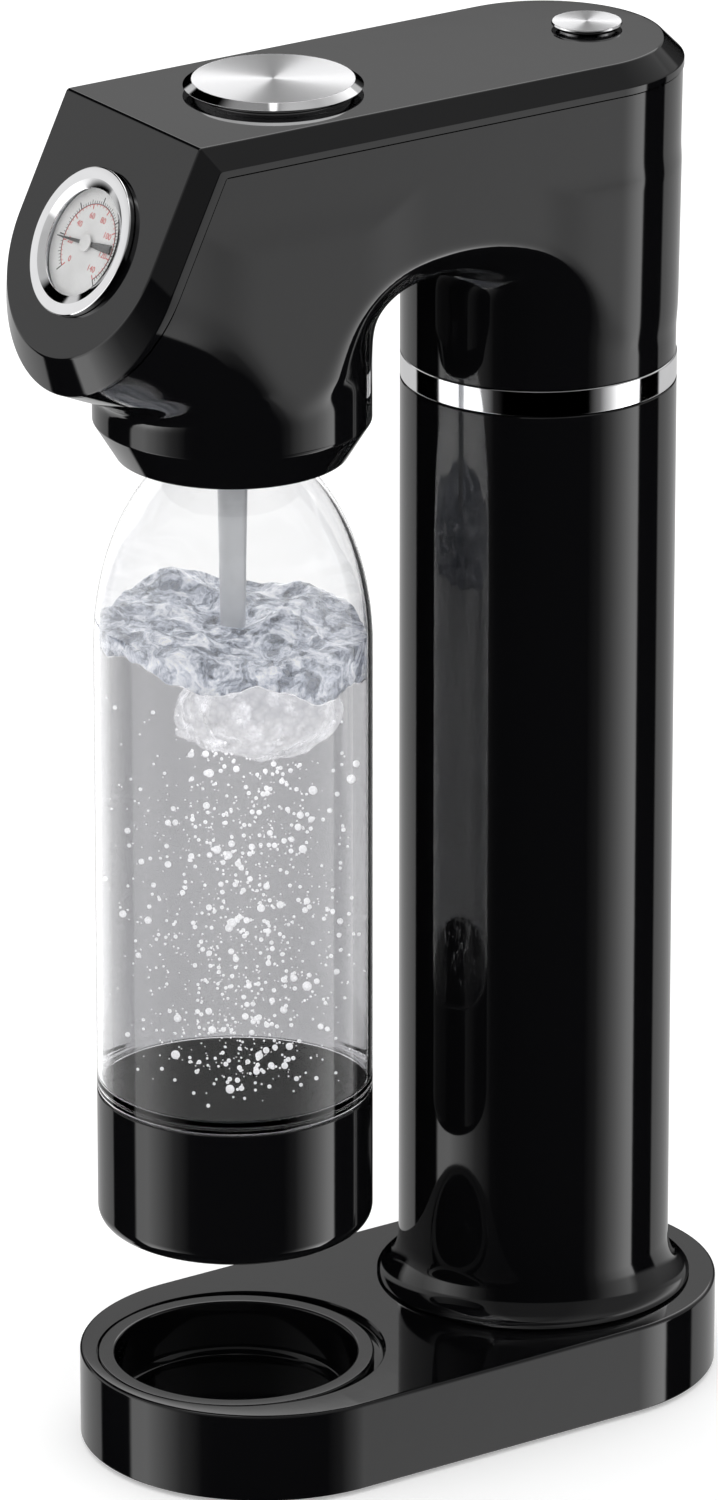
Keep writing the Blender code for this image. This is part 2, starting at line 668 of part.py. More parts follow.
def arch_outline(grow):
    """Everything under the arm between the two axes, with an arched top."""
    top = arc((0, 0), 1, 0, 180, 20)
    rise = ARCH_APEX - ARCH_SPRING
    curve = [(MIDDLE_Y + (ARCH_HALF_SPAN + grow) * c, ARCH_SPRING + (rise + grow) * s) for c, s in top]
    return [(COLUMN_Y, UNDER_ARM), (COLUMN_Y, ARCH_SPRING)] + curve + [(BOTTLE_Y, ARCH_SPRING),
                                                                       (BOTTLE_Y, UNDER_ARM)]


def seam_outline(grow):
    """The lower body's side of the cover seam."""
    behind = COVER_FRONT_THICKNESS - grow
    high = face_point(0, -0.05, behind)
    low = face_point(0, 0.20, behind)
    top = COVER_SEAM_HEIGHT + grow
    share = (top + FOOT_HEIGHT - high.z) / (low.z - high.z)
    corner = high.lerp(low, share)
    return [
        (corner.y, top), (low.y, low.z - FOOT_HEIGHT), (COLUMN_Y + FAR, low.z - FOOT_HEIGHT),
        (COLUMN_Y + FAR, top)
    ]


def shroud_profile(inset):
    """The skirt round the bottle's neck, chamfered in towards its mouth."""
    if inset == 0:
        return [
            (0, ARCH_APEX + 0.010), (SHROUD_RADIUS, ARCH_APEX + 0.010),
            (SHROUD_RADIUS, SHROUD_CHAMFER_HEIGHT),
            (MOUTH_RADIUS + 0.0008, SHROUD_BOTTOM), (0, SHROUD_BOTTOM),
        ]
    top = ARCH_APEX + 0.010
    wide = SHROUD_RADIUS - inset
    return [
        (0, top), (wide, top), (wide, SHROUD_CHAMFER_HEIGHT + 0.002),
        (MOUTH_RADIUS - 0.0012, SHROUD_BOTTOM + 0.003),
        (MOUTH_RADIUS - 0.0012, SHROUD_BOTTOM - 0.02), (0, SHROUD_BOTTOM - 0.02),
    ]


def head():
    lower_limit = turned("under_head", disc(FAR, -FAR, RING_TOP + GAP), COLUMN_Y)
    body = head_block("head_body", 0, GLOSS_BLACK)
    combine(body, side_prism("arch", arch_outline(0)))
    combine(body, lower_limit)
    combine(body, side_prism("below_seam", seam_outline(-GAP)), "INTERSECT")
    skirt_top = SHROUD_CHAMFER_HEIGHT + NESTED * 2
    near, beyond = BOTTLE_Y + 0.01, BOTTLE_Y - 0.09
    front_limit = [(near, UNDER_ARM), (near, skirt_top), (beyond, skirt_top), (beyond, UNDER_ARM)]
    combine(body, side_prism("under_chin", front_limit))
    neck_top = ARCH_APEX + 0.010
    inside = COLUMN_RADIUS - NESTED
    combine(body, turned("neck_outer", disc(inside, RING_TOP + 1.5 * GAP, neck_top), COLUMN_Y), "UNION")
    combine(body, turned("shroud_outer", shroud_profile(0), BOTTLE_Y), "UNION")
    hollow = head_block("head_hollow", WALL)
    combine(hollow, side_prism("arch_skin", arch_outline(WALL)))
    raised = [(near, UNDER_ARM), (near, skirt_top + WALL), (beyond, skirt_top + WALL), (beyond, UNDER_ARM)]
    combine(hollow, side_prism("under_chin_skin", raised))
    before, behind = COLUMN_Y - 0.02, COLUMN_Y + FAR
    neck_limit = [(before, UNDER_ARM), (behind, UNDER_ARM), (behind, NECK_JOIN), (before, NECK_JOIN)]
    combine(hollow, side_prism("neck_limit", neck_limit))
    combine(hollow, turned("neck_inner", disc(inside - WALL, UNDER_ARM, NECK_JOIN + WALL), COLUMN_Y), "UNION")
    combine(hollow, turned("shroud_inner", shroud_profile(WALL), BOTTLE_Y), "UNION")
    combine(body, hollow)

    cover = head_block("head_cover", 0, GLOSS_BLACK)
    combine(cover, side_prism("below_cover", seam_outline(0)))
    combine(cover, head_block("cover_hollow", WALL))
    low = TOP_HEIGHT - 0.035
    combine(cover, turned("button_way", disc(BUTTON_NECK_RADIUS + CLEAR, low, ABOVE), BUTTON_Y))
    release_way = disc(RELEASE_NECK_RADIUS + CLEAR, low, ABOVE)
    combine(cover, turned("release_way", release_way, RELEASE_Y, segments=MEDIUM))
    depth = GAUGE_DEPTH + 0.01
    way = disc(GAUGE_CASE_RADIUS + CLEAR, -depth - FOOT_HEIGHT, depth - FOOT_HEIGHT)
    window = turned("gauge_way", way)
    place_on_gauge(window)
    combine(cover, window)


def place_on_gauge(piece):
    """Puts a piece turned round Z on the gauge's axis, its own height 0 on the face."""
    piece.rotation_mode = "QUATERNION"
    piece.rotation_quaternion = GAUGE_TURN.to_quaternion()
    piece.location = GAUGE_CENTRE
    return piece


# ---- filling gear -------------------------------------------------------------------------
def filling_gear():
    shroud_inner = SHROUD_RADIUS - WALL
    turned(
        "bottle_collar",
        [
            (shroud_inner - GAP, COLLAR_TOP), (shroud_inner - GAP, COLLAR_LIP),
            (NECK_RADIUS + 0.0045, COLLAR_LIP),
            (NECK_RADIUS + 0.0025, COLLAR_BOTTOM), (NECK_RADIUS + 0.0010, COLLAR_BOTTOM),
            (NECK_RADIUS + 0.0010, COLLAR_TOP),
        ],
        BOTTLE_Y,
        GREY_PLASTIC,
    )
    seal_low = NECK_TOP + GAP
    seal = tube(NECK_RADIUS, NOZZLE_TOP_RADIUS + GAP, seal_low, seal_low + SEAL_HEIGHT)
    turned("bottle_seal", seal, BOTTLE_Y, RUBBER, MEDIUM)
    turned(
        "mixing_block",
        [
            (0, BLOCK_TOP), (BLOCK_RADIUS - 0.004, BLOCK_TOP), (BLOCK_RADIUS - 0.004, BLOCK_TOP - 0.008),
            (BLOCK_RADIUS, BLOCK_TOP - 0.010), (BLOCK_RADIUS, BLOCK_BOTTOM),
            (NOZZLE_TOP_RADIUS + GAP, BLOCK_BOTTOM),
            (NOZZLE_TOP_RADIUS + GAP, BLOCK_BOTTOM + BLOCK_SOCKET), (0, BLOCK_BOTTOM + BLOCK_SOCKET),
        ],
        BOTTLE_Y,
        INNER_PLASTIC,
        MEDIUM,
    )
    nozzle_top = BLOCK_BOTTOM + BLOCK_SOCKET - GAP
    turned(
        "nozzle_tube",
        [
            (NOZZLE_TOP_RADIUS, nozzle_top), (NOZZLE_TOP_RADIUS, NOZZLE_TAPER_TOP),
            (NOZZLE_END_RADIUS, NOZZLE_END),
            (NOZZLE_BORE, NOZZLE_END), (NOZZLE_BORE, nozzle_top),
        ],
        BOTTLE_Y,
        GREY_PLASTIC,
        MEDIUM,
    )
    tip_top = NOZZLE_END - GAP
    tip_low = NOZZLE_END - NOZZLE_TIP_LENGTH
    turned(
        "nozzle_tip",
        [
            (NOZZLE_END_RADIUS - 0.0002, tip_top), (NOZZLE_END_RADIUS - 0.0008, tip_low),
            (0.0007, tip_low), (0.0007, tip_top),
        ],
        BOTTLE_Y,
        GREY_PLASTIC,
        SMALL,
    )
    turned(
        "safety_valve",
        [(0, BLOCK_TOP + 0.009), (0.0028, BLOCK_TOP + 0.009), (0.0028, BLOCK_TOP + 0.004),
         (0.0042, BLOCK_TOP + 0.003),
         (0.0042, BLOCK_TOP + GAP), (0, BLOCK_TOP + GAP)],
        BOTTLE_Y - 0.004,
        BRASS,
        6,
    ).location.x = 0.0115
    over = ARCH_APEX + WALL + PIPE_RADIUS + 0.006
    pipe(
        "gas_pipe",
        [
            at(-0.012, COLUMN_Y, SOCKET_TOP + 2 * GAP), at(-0.012, COLUMN_Y, SOCKET_TOP + 0.008),
            at(-0.015, COLUMN_Y - 0.014, over), at(-0.016, MIDDLE_Y, over + 0.003),
            at(-0.014, BOTTLE_Y + 0.016, over), at(-0.011, BOTTLE_Y + 0.003, BLOCK_TOP + 0.005),
            at(-0.011, BOTTLE_Y + 0.003, BLOCK_TOP + 2 * GAP),
        ],
        PIPE_RADIUS,
        STEEL,
    )
    vent_side = RELEASE_BODY_RADIUS + 0.004
    pipe(
        "vent_pipe",
        [
            at(RELEASE_BODY_RADIUS + 2 * GAP, RELEASE_Y, RELEASE_BODY_BOTTOM + 0.004),
            at(vent_side, RELEASE_Y, RELEASE_BODY_BOTTOM + 0.004),
            at(0.018, RELEASE_Y - 0.03, VENT_HEIGHT + 0.0035), at(0.018, MIDDLE_Y, VENT_HEIGHT),
            at(0.0135, BOTTLE_Y + 0.018, VENT_HEIGHT - 0.002),
            at(0.0095, BOTTLE_Y + 0.008, BLOCK_TOP + 0.005),
            at(0.0095, BOTTLE_Y + 0.008, BLOCK_TOP + 2 * GAP),
        ],
        VENT_RADIUS,
        GREY_PLASTIC,
    )
    back = GAUGE_CENTRE - FACE_NORMAL * (GAUGE_DEPTH + 2 * GAP)
    block_front = at(0, BOTTLE_Y - BLOCK_RADIUS - 2 * GAP, BLOCK_BOTTOM + 0.010)
    pipe(
        "gauge_pipe",
        [back, back - FACE_NORMAL * 0.006, Vector(block_front) + Vector((0, -0.004, 0.001)), block_front],
        GAUGE_PIPE_RADIUS,
        BRASS,
    )


# ---- buttons ------------------------------------------------------------------------------
def button(name, y, radius, neck, top, cap, bevel, travel, stem_radius, stem_end, spring_radius, spring_low,
           segments):
    """A chamfered metal cap on a narrower neck, with its stem below, which carries the spring's load."""
    under = top - cap
    neck_low = TOP_HEIGHT - travel - 0.0008
    turned(
        f"{name}_button",
        [
            (0, top), (radius - bevel, top), (radius, top - bevel * BEVEL_SLOPE), (radius, under),
            (neck, under),
            (neck, neck_low), (neck - 0.0015, neck_low), (neck - 0.0015, under - 0.0005), (0, under - 0.0005),
        ],
        y,
        BRUSHED,
        segments,
    )
    stem_top = under - 0.0005 - GAP
    turned(f"{name}_stem", disc(stem_radius, stem_end, stem_top), y, INNER_PLASTIC, SMALL)
    coil(f"{name}_spring", y, spring_low + GAP, stem_top - GAP, spring_radius, SPRING_WIRE, 4, STEEL)


def buttons():
    button(
        "carbonate", BUTTON_Y, BUTTON_RADIUS, BUTTON_NECK_RADIUS, BUTTON_TOP, BUTTON_CAP, BUTTON_BEVEL,
        BUTTON_TRAVEL, STEM_RADIUS, LEVER_TOP + GAP, STEM_RADIUS + 0.0030, HOUSING_FLOOR + WALL, FINE,
    )
    cover_underside = TOP_HEIGHT - WALL
    outer = BUTTON_NECK_RADIUS + CLEAR + 0.003
    turned(
        "carbonate_housing",
        [
            (outer, cover_underside - GAP), (outer, HOUSING_FLOOR), (STEM_RADIUS + CLEAR, HOUSING_FLOOR),
            (STEM_RADIUS + CLEAR, HOUSING_FLOOR + WALL), (outer - 0.0015, HOUSING_FLOOR + WALL),
            (outer - 0.0015, cover_underside - GAP),
        ],
        BUTTON_Y,
        INNER_PLASTIC,
    )
    pocket = RELEASE_BODY_BOTTOM + 0.010
    button(
        "release", RELEASE_Y, RELEASE_RADIUS, RELEASE_NECK_RADIUS, RELEASE_TOP, RELEASE_CAP, RELEASE_BEVEL,
        RELEASE_TRAVEL, RELEASE_STEM_RADIUS, RELEASE_BODY_BOTTOM + 0.005, RELEASE_STEM_RADIUS + 0.0015,
        pocket, MEDIUM,
    )
    wide = RELEASE_BODY_RADIUS
    turned(
        "release_valve",
        [
            (wide, cover_underside - GAP), (wide, RELEASE_BODY_BOTTOM), (0, RELEASE_BODY_BOTTOM),
            (0, RELEASE_BODY_BOTTOM + 0.002), (RELEASE_STEM_RADIUS + CLEAR, RELEASE_BODY_BOTTOM + 0.002),
            (RELEASE_STEM_RADIUS + CLEAR, pocket), (RELEASE_STEM_RADIUS + 0.0028, pocket),
            (RELEASE_STEM_RADIUS + 0.0028, cover_underside - GAP),
        ],
        RELEASE_Y,
        INNER_PLASTIC,
        MEDIUM,
    )


# ---- gauge --------------------------------------------------------------------------------
def gauge_turned(name, profile, finish, segments=FINE):
    """A turned piece on the gauge's axis; heights are measured outwards from the sloping face."""
    lowered = [(r, z - FOOT_HEIGHT) for r, z in profile]
    return place_on_gauge(turned(name, lowered, 0, finish, segments))


def gauge():
    window = GAUGE_WINDOW_RADIUS
    case = GAUGE_CASE_RADIUS
    dial_top = GAUGE_PROUD - GAUGE_DIAL_DEPTH
    case_inner = case - 0.0012
    lens_top = LENS_LOW + LENS_THICKNESS
    edge = 0.0005
    gauge_turned(
        "gauge_bezel",
        [
            (GAUGE_CONE_RADIUS, GAUGE_PROUD), (GAUGE_RADIUS - edge, GAUGE_PROUD),
            (GAUGE_RADIUS, GAUGE_PROUD - edge),
            (GAUGE_RADIUS, GAP), (case, GAP), (case, lens_top + GAP), (window, lens_top + GAP),
            (window, GAUGE_PROUD - GAUGE_CONE_DEPTH),
        ],
        CHROME,
    )
    gauge_turned(
        "gauge_case",
        [
            (case, 0), (case, 3 * GAP - GAUGE_DEPTH), (case - 0.001, -GAUGE_DEPTH), (0, -GAUGE_DEPTH),
            (0, dial_top - 0.0011), (case_inner, dial_top - 0.0011), (case_inner, 0),
        ],
        STEEL,
    )
    gauge_turned("gauge_dial", disc(case_inner - GAP, dial_top - 0.0008, dial_top), DIAL_PAPER)
    gauge_turned("gauge_lens", disc(case_inner - GAP, LENS_LOW, lens_top), CLEAR_PLASTIC)
    hub_low = dial_top + GAP
    root = HUB_RADIUS / 2
    outline = [
        (NEEDLE_LENGTH, 0.0002), (root, 0.0007), (-0.003, 0.0008), (-0.0045, 0.0010), (-NEEDLE_TAIL, 0.0014),
        (-NEEDLE_TAIL, -0.0014), (-0.0045, -0.0010), (-0.003, -0.0008), (root, -0.0007),
        (NEEDLE_LENGTH, -0.0002),
    ]
    turn = Matrix.Rotation(NEEDLE_ANGLE, 4, "Z")
    needle_top = hub_low + NEEDLE_THICKNESS
    place_on_gauge(prism("gauge_needle", outline, hub_low, needle_top, turn, NEEDLE_BLACK))
    gauge_turned("needle_hub", disc(HUB_RADIUS, needle_top + GAP, -0.0001), DIAL_PAPER, SMALL)


# ---- bottle -------------------------------------------------------------------------------
def shoulder_radius(height):
    """Quarter ellipse from the bottle's side up to its neck."""
    share = (height - SHOULDER_START) / SHOULDER_HEIGHT
    return BOTTLE_RADIUS * math.sqrt(max(0, 1 - share * share))


def bottle():
    shoulder_end = SHOULDER_START + SHOULDER_HEIGHT * math.sqrt(1 - (NECK_RADIUS / BOTTLE_RADIUS) ** 2)
    steps = 7
    heights = [shoulder_end + (SHOULDER_START - shoulder_end) * (i / steps) for i in range(steps + 1)]
    outer = [(shoulder_radius(h), h) for h in heights]
    inner = [(shoulder_radius(h) - BOTTLE_WALL, h - BOTTLE_WALL * 0.4) for h in reversed(heights)]
    cup_side = BOTTLE_RADIUS - BOTTLE_CUP_WALL - GAP
    vessel_low = BOTTLE_BOTTOM + BOTTLE_CUP_WALL + 0.004
    foot = arc((cup_side - 0.008, vessel_low + 0.008), 0.008, 0, -90, 4)
    foot_inner = arc((cup_side - 0.008, vessel_low + 0.008), 0.008 - BOTTLE_WALL, -90, 0, 4)
    turned(
        "bottle_body",
        [(NECK_RADIUS, NECK_TOP)] + outer
        + [(BOTTLE_RADIUS, BOTTLE_CUP_TOP + GAP), (cup_side, BOTTLE_CUP_TOP + GAP)] + foot
        + [(0, vessel_low), (0, vessel_low + BOTTLE_WALL)] + foot_inner
        + [(cup_side - BOTTLE_WALL, BOTTLE_CUP_TOP + 0.002),
           (BOTTLE_RADIUS - BOTTLE_WALL, BOTTLE_CUP_TOP + 0.004)]
        + inner + [(NECK_RADIUS - BOTTLE_WALL * 1.4, NECK_TOP)],
        BOTTLE_Y,
        CLEAR_PLASTIC,
    )
    rounding = BOTTLE_CUP_ROUND
    corner = arc((BOTTLE_RADIUS - rounding, BOTTLE_BOTTOM + rounding), rounding, 0, -90, 4)
    inside = BOTTLE_RADIUS - BOTTLE_CUP_WALL
    turned(
        "bottle_cup",
        [(BOTTLE_RADIUS, BOTTLE_CUP_TOP)] + corner
        + [(0, BOTTLE_BOTTOM), (0, BOTTLE_BOTTOM + BOTTLE_CUP_WALL),
           (inside - 0.004, BOTTLE_BOTTOM + BOTTLE_CUP_WALL),
           (inside, BOTTLE_BOTTOM + BOTTLE_CUP_WALL + 0.004), (inside, BOTTLE_CUP_TOP)],
        BOTTLE_Y,
        GLOSS_BLACK,
    )


base()
drip_cup()
column()
gas_cylinder()
lever()
head()
filling_gear()
buttons()
gauge()
bottle()
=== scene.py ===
"""Looks of the soda carbonator: fine surfaces, finishes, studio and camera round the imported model.

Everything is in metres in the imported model's frame: +Z up, front towards -Y, the table at z 0.
"""

import json
import math

import bmesh
import bpy
import numpy as np
from mathutils import Matrix, Vector


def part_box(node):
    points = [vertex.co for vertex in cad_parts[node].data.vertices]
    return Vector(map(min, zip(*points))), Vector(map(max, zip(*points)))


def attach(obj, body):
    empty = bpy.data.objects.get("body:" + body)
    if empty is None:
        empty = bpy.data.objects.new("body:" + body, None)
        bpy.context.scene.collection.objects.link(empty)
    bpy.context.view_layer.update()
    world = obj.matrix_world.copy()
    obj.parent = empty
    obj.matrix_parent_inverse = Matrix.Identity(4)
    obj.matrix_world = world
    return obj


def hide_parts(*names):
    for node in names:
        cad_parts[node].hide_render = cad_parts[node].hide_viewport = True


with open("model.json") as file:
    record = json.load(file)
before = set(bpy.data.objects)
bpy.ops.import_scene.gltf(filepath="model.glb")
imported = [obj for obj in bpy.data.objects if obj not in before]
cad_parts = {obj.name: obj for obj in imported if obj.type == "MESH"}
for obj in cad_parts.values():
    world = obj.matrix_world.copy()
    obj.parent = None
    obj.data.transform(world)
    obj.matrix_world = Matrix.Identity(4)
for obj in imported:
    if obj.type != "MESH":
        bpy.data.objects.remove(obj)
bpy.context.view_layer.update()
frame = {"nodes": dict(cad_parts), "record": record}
NODES = frame["nodes"]


# ---- places read from the frame ---------------------------------------------------------------
def corners(node):
    """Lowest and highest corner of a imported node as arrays."""
    low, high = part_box(node)
    return np.array(low), np.array(high)


def centre_y(node):
    low, high = corners(node)
    return (low[1] + high[1]) / 2


COLUMN_Y = centre_y("chrome_ring")
BOTTLE_Y = centre_y("bottle_cup")
BUTTON_Y = centre_y("carbonate_button")
RELEASE_Y = centre_y("release_button")
RADIUS = corners("chrome_ring")[1][0]          # column, neck and half width of the arm
RING_LOW, RING_TOP = corners("chrome_ring")[0][2], corners("chrome_ring")[1][2]
BASE_LOW, BASE_TOP = corners("base_shell")[0][2], corners("base_shell")[1][2]
BASE_HALF = corners("base_shell")[1][0]
HEAD_TOP = corners("head_cover")[1][2]
SHROUD_LOW = corners("head_body")[0][2]
BOTTLE_RADIUS = corners("bottle_cup")[1][0]
BOTTLE_LOW, BOTTLE_CUP_TOP = corners("bottle_cup")[0][2], corners("bottle_cup")[1][2]
NECK_TOP = corners("bottle_body")[1][2]

GAP = 0.0003

# ---- the head's own sizes -----------------------------------------------------------------------
FACE_TILT = math.radians(26)
FACE_REACH = 0.1473                             # column axis to the face's top edge
FACE_RADIUS = 0.0360
FACE_CENTRE = 0.0393
CHIN_DROP = 0.0033
SIDE_BEVEL = 0.0055
CHIN_BEVEL = 0.0080
COVER_DEPTH = 0.0086                            # how far the cover's front reaches behind the face
COVER_WALL = 0.0022
TOP_CHAMFER = 0.0062
REAR_DRAFT = 0.0017
SEAM_HEIGHT = HEAD_TOP - 0.0086
SEAM_HALF = 0.00025
SHROUD_RADIUS = 0.0423
MOUTH_RADIUS = 0.0333
MOUTH_INNER = 0.0398
ARCH_TOP = RING_TOP + 0.0396
JOIN_TOP = RING_TOP + 0.0601                    # neck and shroud run up this far inside the arm
ARCH_SPRING = RING_TOP + 0.0021
ARCH_HALF_SPAN = 0.0460
ARCH_CHAMFER = 0.0130                           # sloping rim round the arch, measured along each face
ARCH_CREASE = 0.0025
ARCH_EDGE = 0.0060                              # rounding where that rim turns into the arch
SHROUD_FILLET = 0.0200                          # fillet between the arm and the shroud
NECK_FILLET = 0.0100                            # and between the arm and the neck
ARM_FLOOR = RING_TOP + 0.0085
FLOOR_BLEND = 0.0160                            # soft edge between the arm's sides and its floor
REAR_BLEND = 0.0020
CASTING_WALL = 0.0030
BORE_TOP = RING_TOP + 0.042                     # how far up the hollow neck and the shroud's mouth go
MOUTH_TOP = RING_TOP + 0.0144
BUTTON_WAY, RELEASE_WAY, GAUGE_WAY = 0.0243, 0.0095, 0.0195
SHROUD_CUT = RING_TOP + GAP                     # neck and shroud both end on this level
FACE_TOP = np.array([0, COLUMN_Y - FACE_REACH, HEAD_TOP])
FACE_NORMAL = np.array([0, -math.cos(FACE_TILT), math.sin(FACE_TILT)])
FACE_DOWN = np.array([0, -math.sin(FACE_TILT), -math.cos(FACE_TILT)])
GAUGE_CENTRE = FACE_TOP + FACE_DOWN * 0.0397


# ---- mesh making ----------------------------------------------------------------------------------
def rounded(corner_list, steps=4):
    """Line through (radius, height, rounding) corners: an arc tangent to both sides replaces a corner."""
    spots = np.array([c[:2] for c in corner_list], float)
    line = []
    for i, (r, z, radius) in enumerate(corner_list):
        if not radius or i in (0, len(corner_list) - 1):
            line.append((r, z))
            continue
        before, after = spots[i - 1] - spots[i], spots[i + 1] - spots[i]
        reach_limit = 0.49 * min(np.linalg.norm(before), np.linalg.norm(after))
        before, after = before / np.linalg.norm(before), after / np.linalg.norm(after)
        half = math.acos(float(np.clip(before @ after, -1, 1))) / 2
        reach = min(radius / math.tan(half), reach_limit)
        middle = before + after
        centre = spots[i] + middle / np.linalg.norm(middle) * reach / math.cos(half)
        start, end = spots[i] + before * reach - centre, spots[i] + after * reach - centre
        sweep = math.pi - 2 * half
        for t in np.linspace(0, 1, steps + 1):
            spot = math.sin((1 - t) * sweep) * start + math.sin(t * sweep) * end
            line.append(centre + spot / math.sin(sweep))
    return np.array(line)


def drum(radius, low, high):
    """Outline of a plain cylinder, from its axis round to its axis."""
    return [(0, low), (radius, low), (radius, high), (0, high)]


def turn(profile, y=0.0, count=128, start=0.0):
    """Point (r, z) of the profile at angle a goes to (r cos a, y + r sin a, z)."""
    profile = np.asarray(profile, float)
    a = start + np.linspace(0, 2 * np.pi, count, endpoint=False)
    r, z = profile[:, :1], profile[:, 1:]
    return np.stack([r * np.cos(a), y + r * np.sin(a), z + 0 * a], -1)


def patch(grid, around=False):
    """Points, quads and UVs of a grid of points; around joins its last column to the first."""
    rows, columns = grid.shape[:2]
    index = np.arange(rows * columns).reshape(rows, columns)
    steps = columns if around else columns - 1
    left = index[:, :steps]
    right = np.roll(index, -1, 1)[:, :steps]
    faces = np.stack([left[:-1], right[:-1], right[1:], left[1:]], -1).reshape(-1, 4)
    u, v = np.meshgrid(np.arange(steps) / steps, np.arange(rows - 1) / (rows - 1))
    du, dv = 1 / steps, 1 / (rows - 1)
    uv = np.stack([np.stack([u, v], -1), np.stack([u + du, v], -1),
                   np.stack([u + du, v + dv], -1), np.stack([u, v + dv], -1)], 2).reshape(-1, 2)
    return grid.reshape(-1, 3), faces, uv


def joined(patches):
    """Several patches as one set of points, quads and UVs."""
    shift, points, faces, uvs = 0, [], [], []
    for p, f, uv in patches:
        points.append(p)
        faces.append(f + shift)
        uvs.append(uv)
        shift += len(p)
    return np.concatenate(points), np.concatenate(faces), np.concatenate(uvs)


def linked(name, data):
    """An object that holds the data, in the scene."""
    made = bpy.data.objects.new(name, data)
    bpy.context.scene.collection.objects.link(made)
    return made


def solid(name, patches, finish, sharp=35.0, weld=2e-6, outward=False):
    """A mesh object from patches: doubles are welded, so seams and poles are closed."""
    points, faces, uvs = joined(patches)
    mesh = bpy.data.meshes.new(name)
    mesh.from_pydata(points.tolist(), [], faces.tolist())
    layer = mesh.uv_layers.new(name="skin")
    layer.data.foreach_set("uv", uvs.ravel().astype(np.float32))
    work = bmesh.new()
    work.from_mesh(mesh)
    bmesh.ops.remove_doubles(work, verts=work.verts, dist=weld)
    if outward:
        bmesh.ops.recalc_face_normals(work, faces=work.faces)
    work.to_mesh(mesh)
    work.free()
    mesh.shade_smooth()
    mesh.set_sharp_from_angle(angle=math.radians(sharp))
    mesh.materials.append(finish)
    return linked(name, mesh)


def fit(piece, body, slot, *stands_for):
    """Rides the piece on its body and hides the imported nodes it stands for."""
    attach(piece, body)
    if stands_for:
        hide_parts(*stands_for)
    return piece


def turned(name, profile, y, finish, body, slot, *stands_for, count=128, sharp=35.0):
    """A turned piece about the upright axis at y; its profile runs up the outer side."""
    piece = crisp(solid(name, [patch(turn(profile, y, count), around=True)], finish, sharp))
    return fit(piece, body, slot, *stands_for)


def on_gauge(points):
    """Takes points made about the upright axis to the gauge's axis, their height measured off the face."""
    across = np.array([1.0, 0, 0])
    frame_of_gauge = np.stack([across, -FACE_DOWN, FACE_NORMAL])
    return points @ frame_of_gauge + GAUGE_CENTRE


def settled(piece):
    """Replaces a piece's mesh by what its modifiers make of it."""
    graph = bpy.context.evaluated_depsgraph_get()
    shown = piece.evaluated_get(graph)
    mesh = bpy.data.meshes.new_from_object(shown, preserve_all_data_layers=True, depsgraph=graph)
    piece.modifiers.clear()
    piece.data = mesh
    return piece


def crisp(piece):
    """Bends each corner's shading towards its larger face, so flats stay flat beside fine rounded edges."""
    weigh = piece.modifiers.new("weigh", "WEIGHTED_NORMAL")
    weigh.mode, weigh.weight, weigh.keep_sharp = "FACE_AREA", 100, True
    return settled(piece)


def carved(piece, cutters, sharp=30.0):
    """Cuts closed cutters out of a piece, then removes them."""
    for cutter in cutters:
        cut = piece.modifiers.new(cutter.name, "BOOLEAN")
        cut.operation, cut.solver, cut.object = "DIFFERENCE", "EXACT", cutter
    settled(piece)
    for cutter in cutters:
        bpy.data.objects.remove(cutter, do_unlink=True)
    finish = piece.data.materials[0]
    piece.data.materials.clear()
    piece.data.materials.append(finish)
    piece.data.polygons.foreach_set("material_index", np.zeros(len(piece.data.polygons), np.int32))
    piece.data.shade_smooth()
    piece.data.set_sharp_from_angle(angle=math.radians(sharp))
    return crisp(piece)


def cutter(name, profile, finish, y=0.0, count=160, place=None):
    """A closed turned cutter; place moves its points."""
    grid = turn(profile, y, count)
    if place is not None:
        grid = place(grid)
    return solid(name, [patch(grid, around=True)], finish)


# ---- material making ------------------------------------------------------------------------------
class Finish:
    """A material with a Principled shader and short calls for the nodes that feed it."""

    def __init__(self, name, **constants):
        self.material = bpy.data.materials.new(name)
        self.material.use_nodes = True
        self.tree = self.material.node_tree
        self.shader = self.tree.nodes["Principled BSDF"]
        for socket, value in constants.items():
            self.shader.inputs[socket.replace("_", " ")].default_value = value

    def node(self, kind, settings=None, **inputs):
        return wired(self.tree, kind, settings, **inputs)

    def feed(self, socket, source):
        self.tree.links.new(source, self.shader.inputs[socket])
        return self


def wired(tree, kind, settings=None, **inputs):
    """A node with its settings and inputs: values, or other nodes' outputs. _0 names an input by number."""
    made = tree.nodes.new(kind)
    for key, value in (settings or {}).items():
        setattr(made, key, value)
    for key, value in inputs.items():
        key = int(key[1:]) if key[0] == "_" else key.replace("_", " ")
        if isinstance(value, bpy.types.NodeSocket):
            tree.links.new(value, made.inputs[key])
        else:
            made.inputs[key].default_value = value
    return made


def worked(tree, operation, *values):
    """The result of one sum on its values."""
    return wired(tree, "ShaderNodeMath", {"operation": operation},
                 **{"_%d" % i: value for i, value in enumerate(values)}).outputs[0]


def remapped(tree, value, start, end, low=0.0, high=1.0, kind="LINEAR"):
    """Takes start to end over to low to high, held at both ends."""
    return wired(tree, "ShaderNodeMapRange", {"interpolation_type": kind}, Value=value,
                 From_Min=start, From_Max=end, To_Min=low, To_Max=high).outputs[0]


def ramp_of(tree, fac, stops):
    """A colour ramp from (place, colour) stops; a colour is red, green and blue, or one grey value."""
    made = wired(tree, "ShaderNodeValToRGB", Fac=fac)
    elements = made.color_ramp.elements
    stops = [(spot, (*(value if isinstance(value, tuple) else 3 * (value,)), 1)) for spot, value in stops]
    for element, (spot, colour) in zip(elements, (stops[0], stops[-1])):
        element.position, element.color = spot, colour
    for spot, colour in stops[1:-1]:
        elements.new(spot).color = colour
    return made.outputs[0]


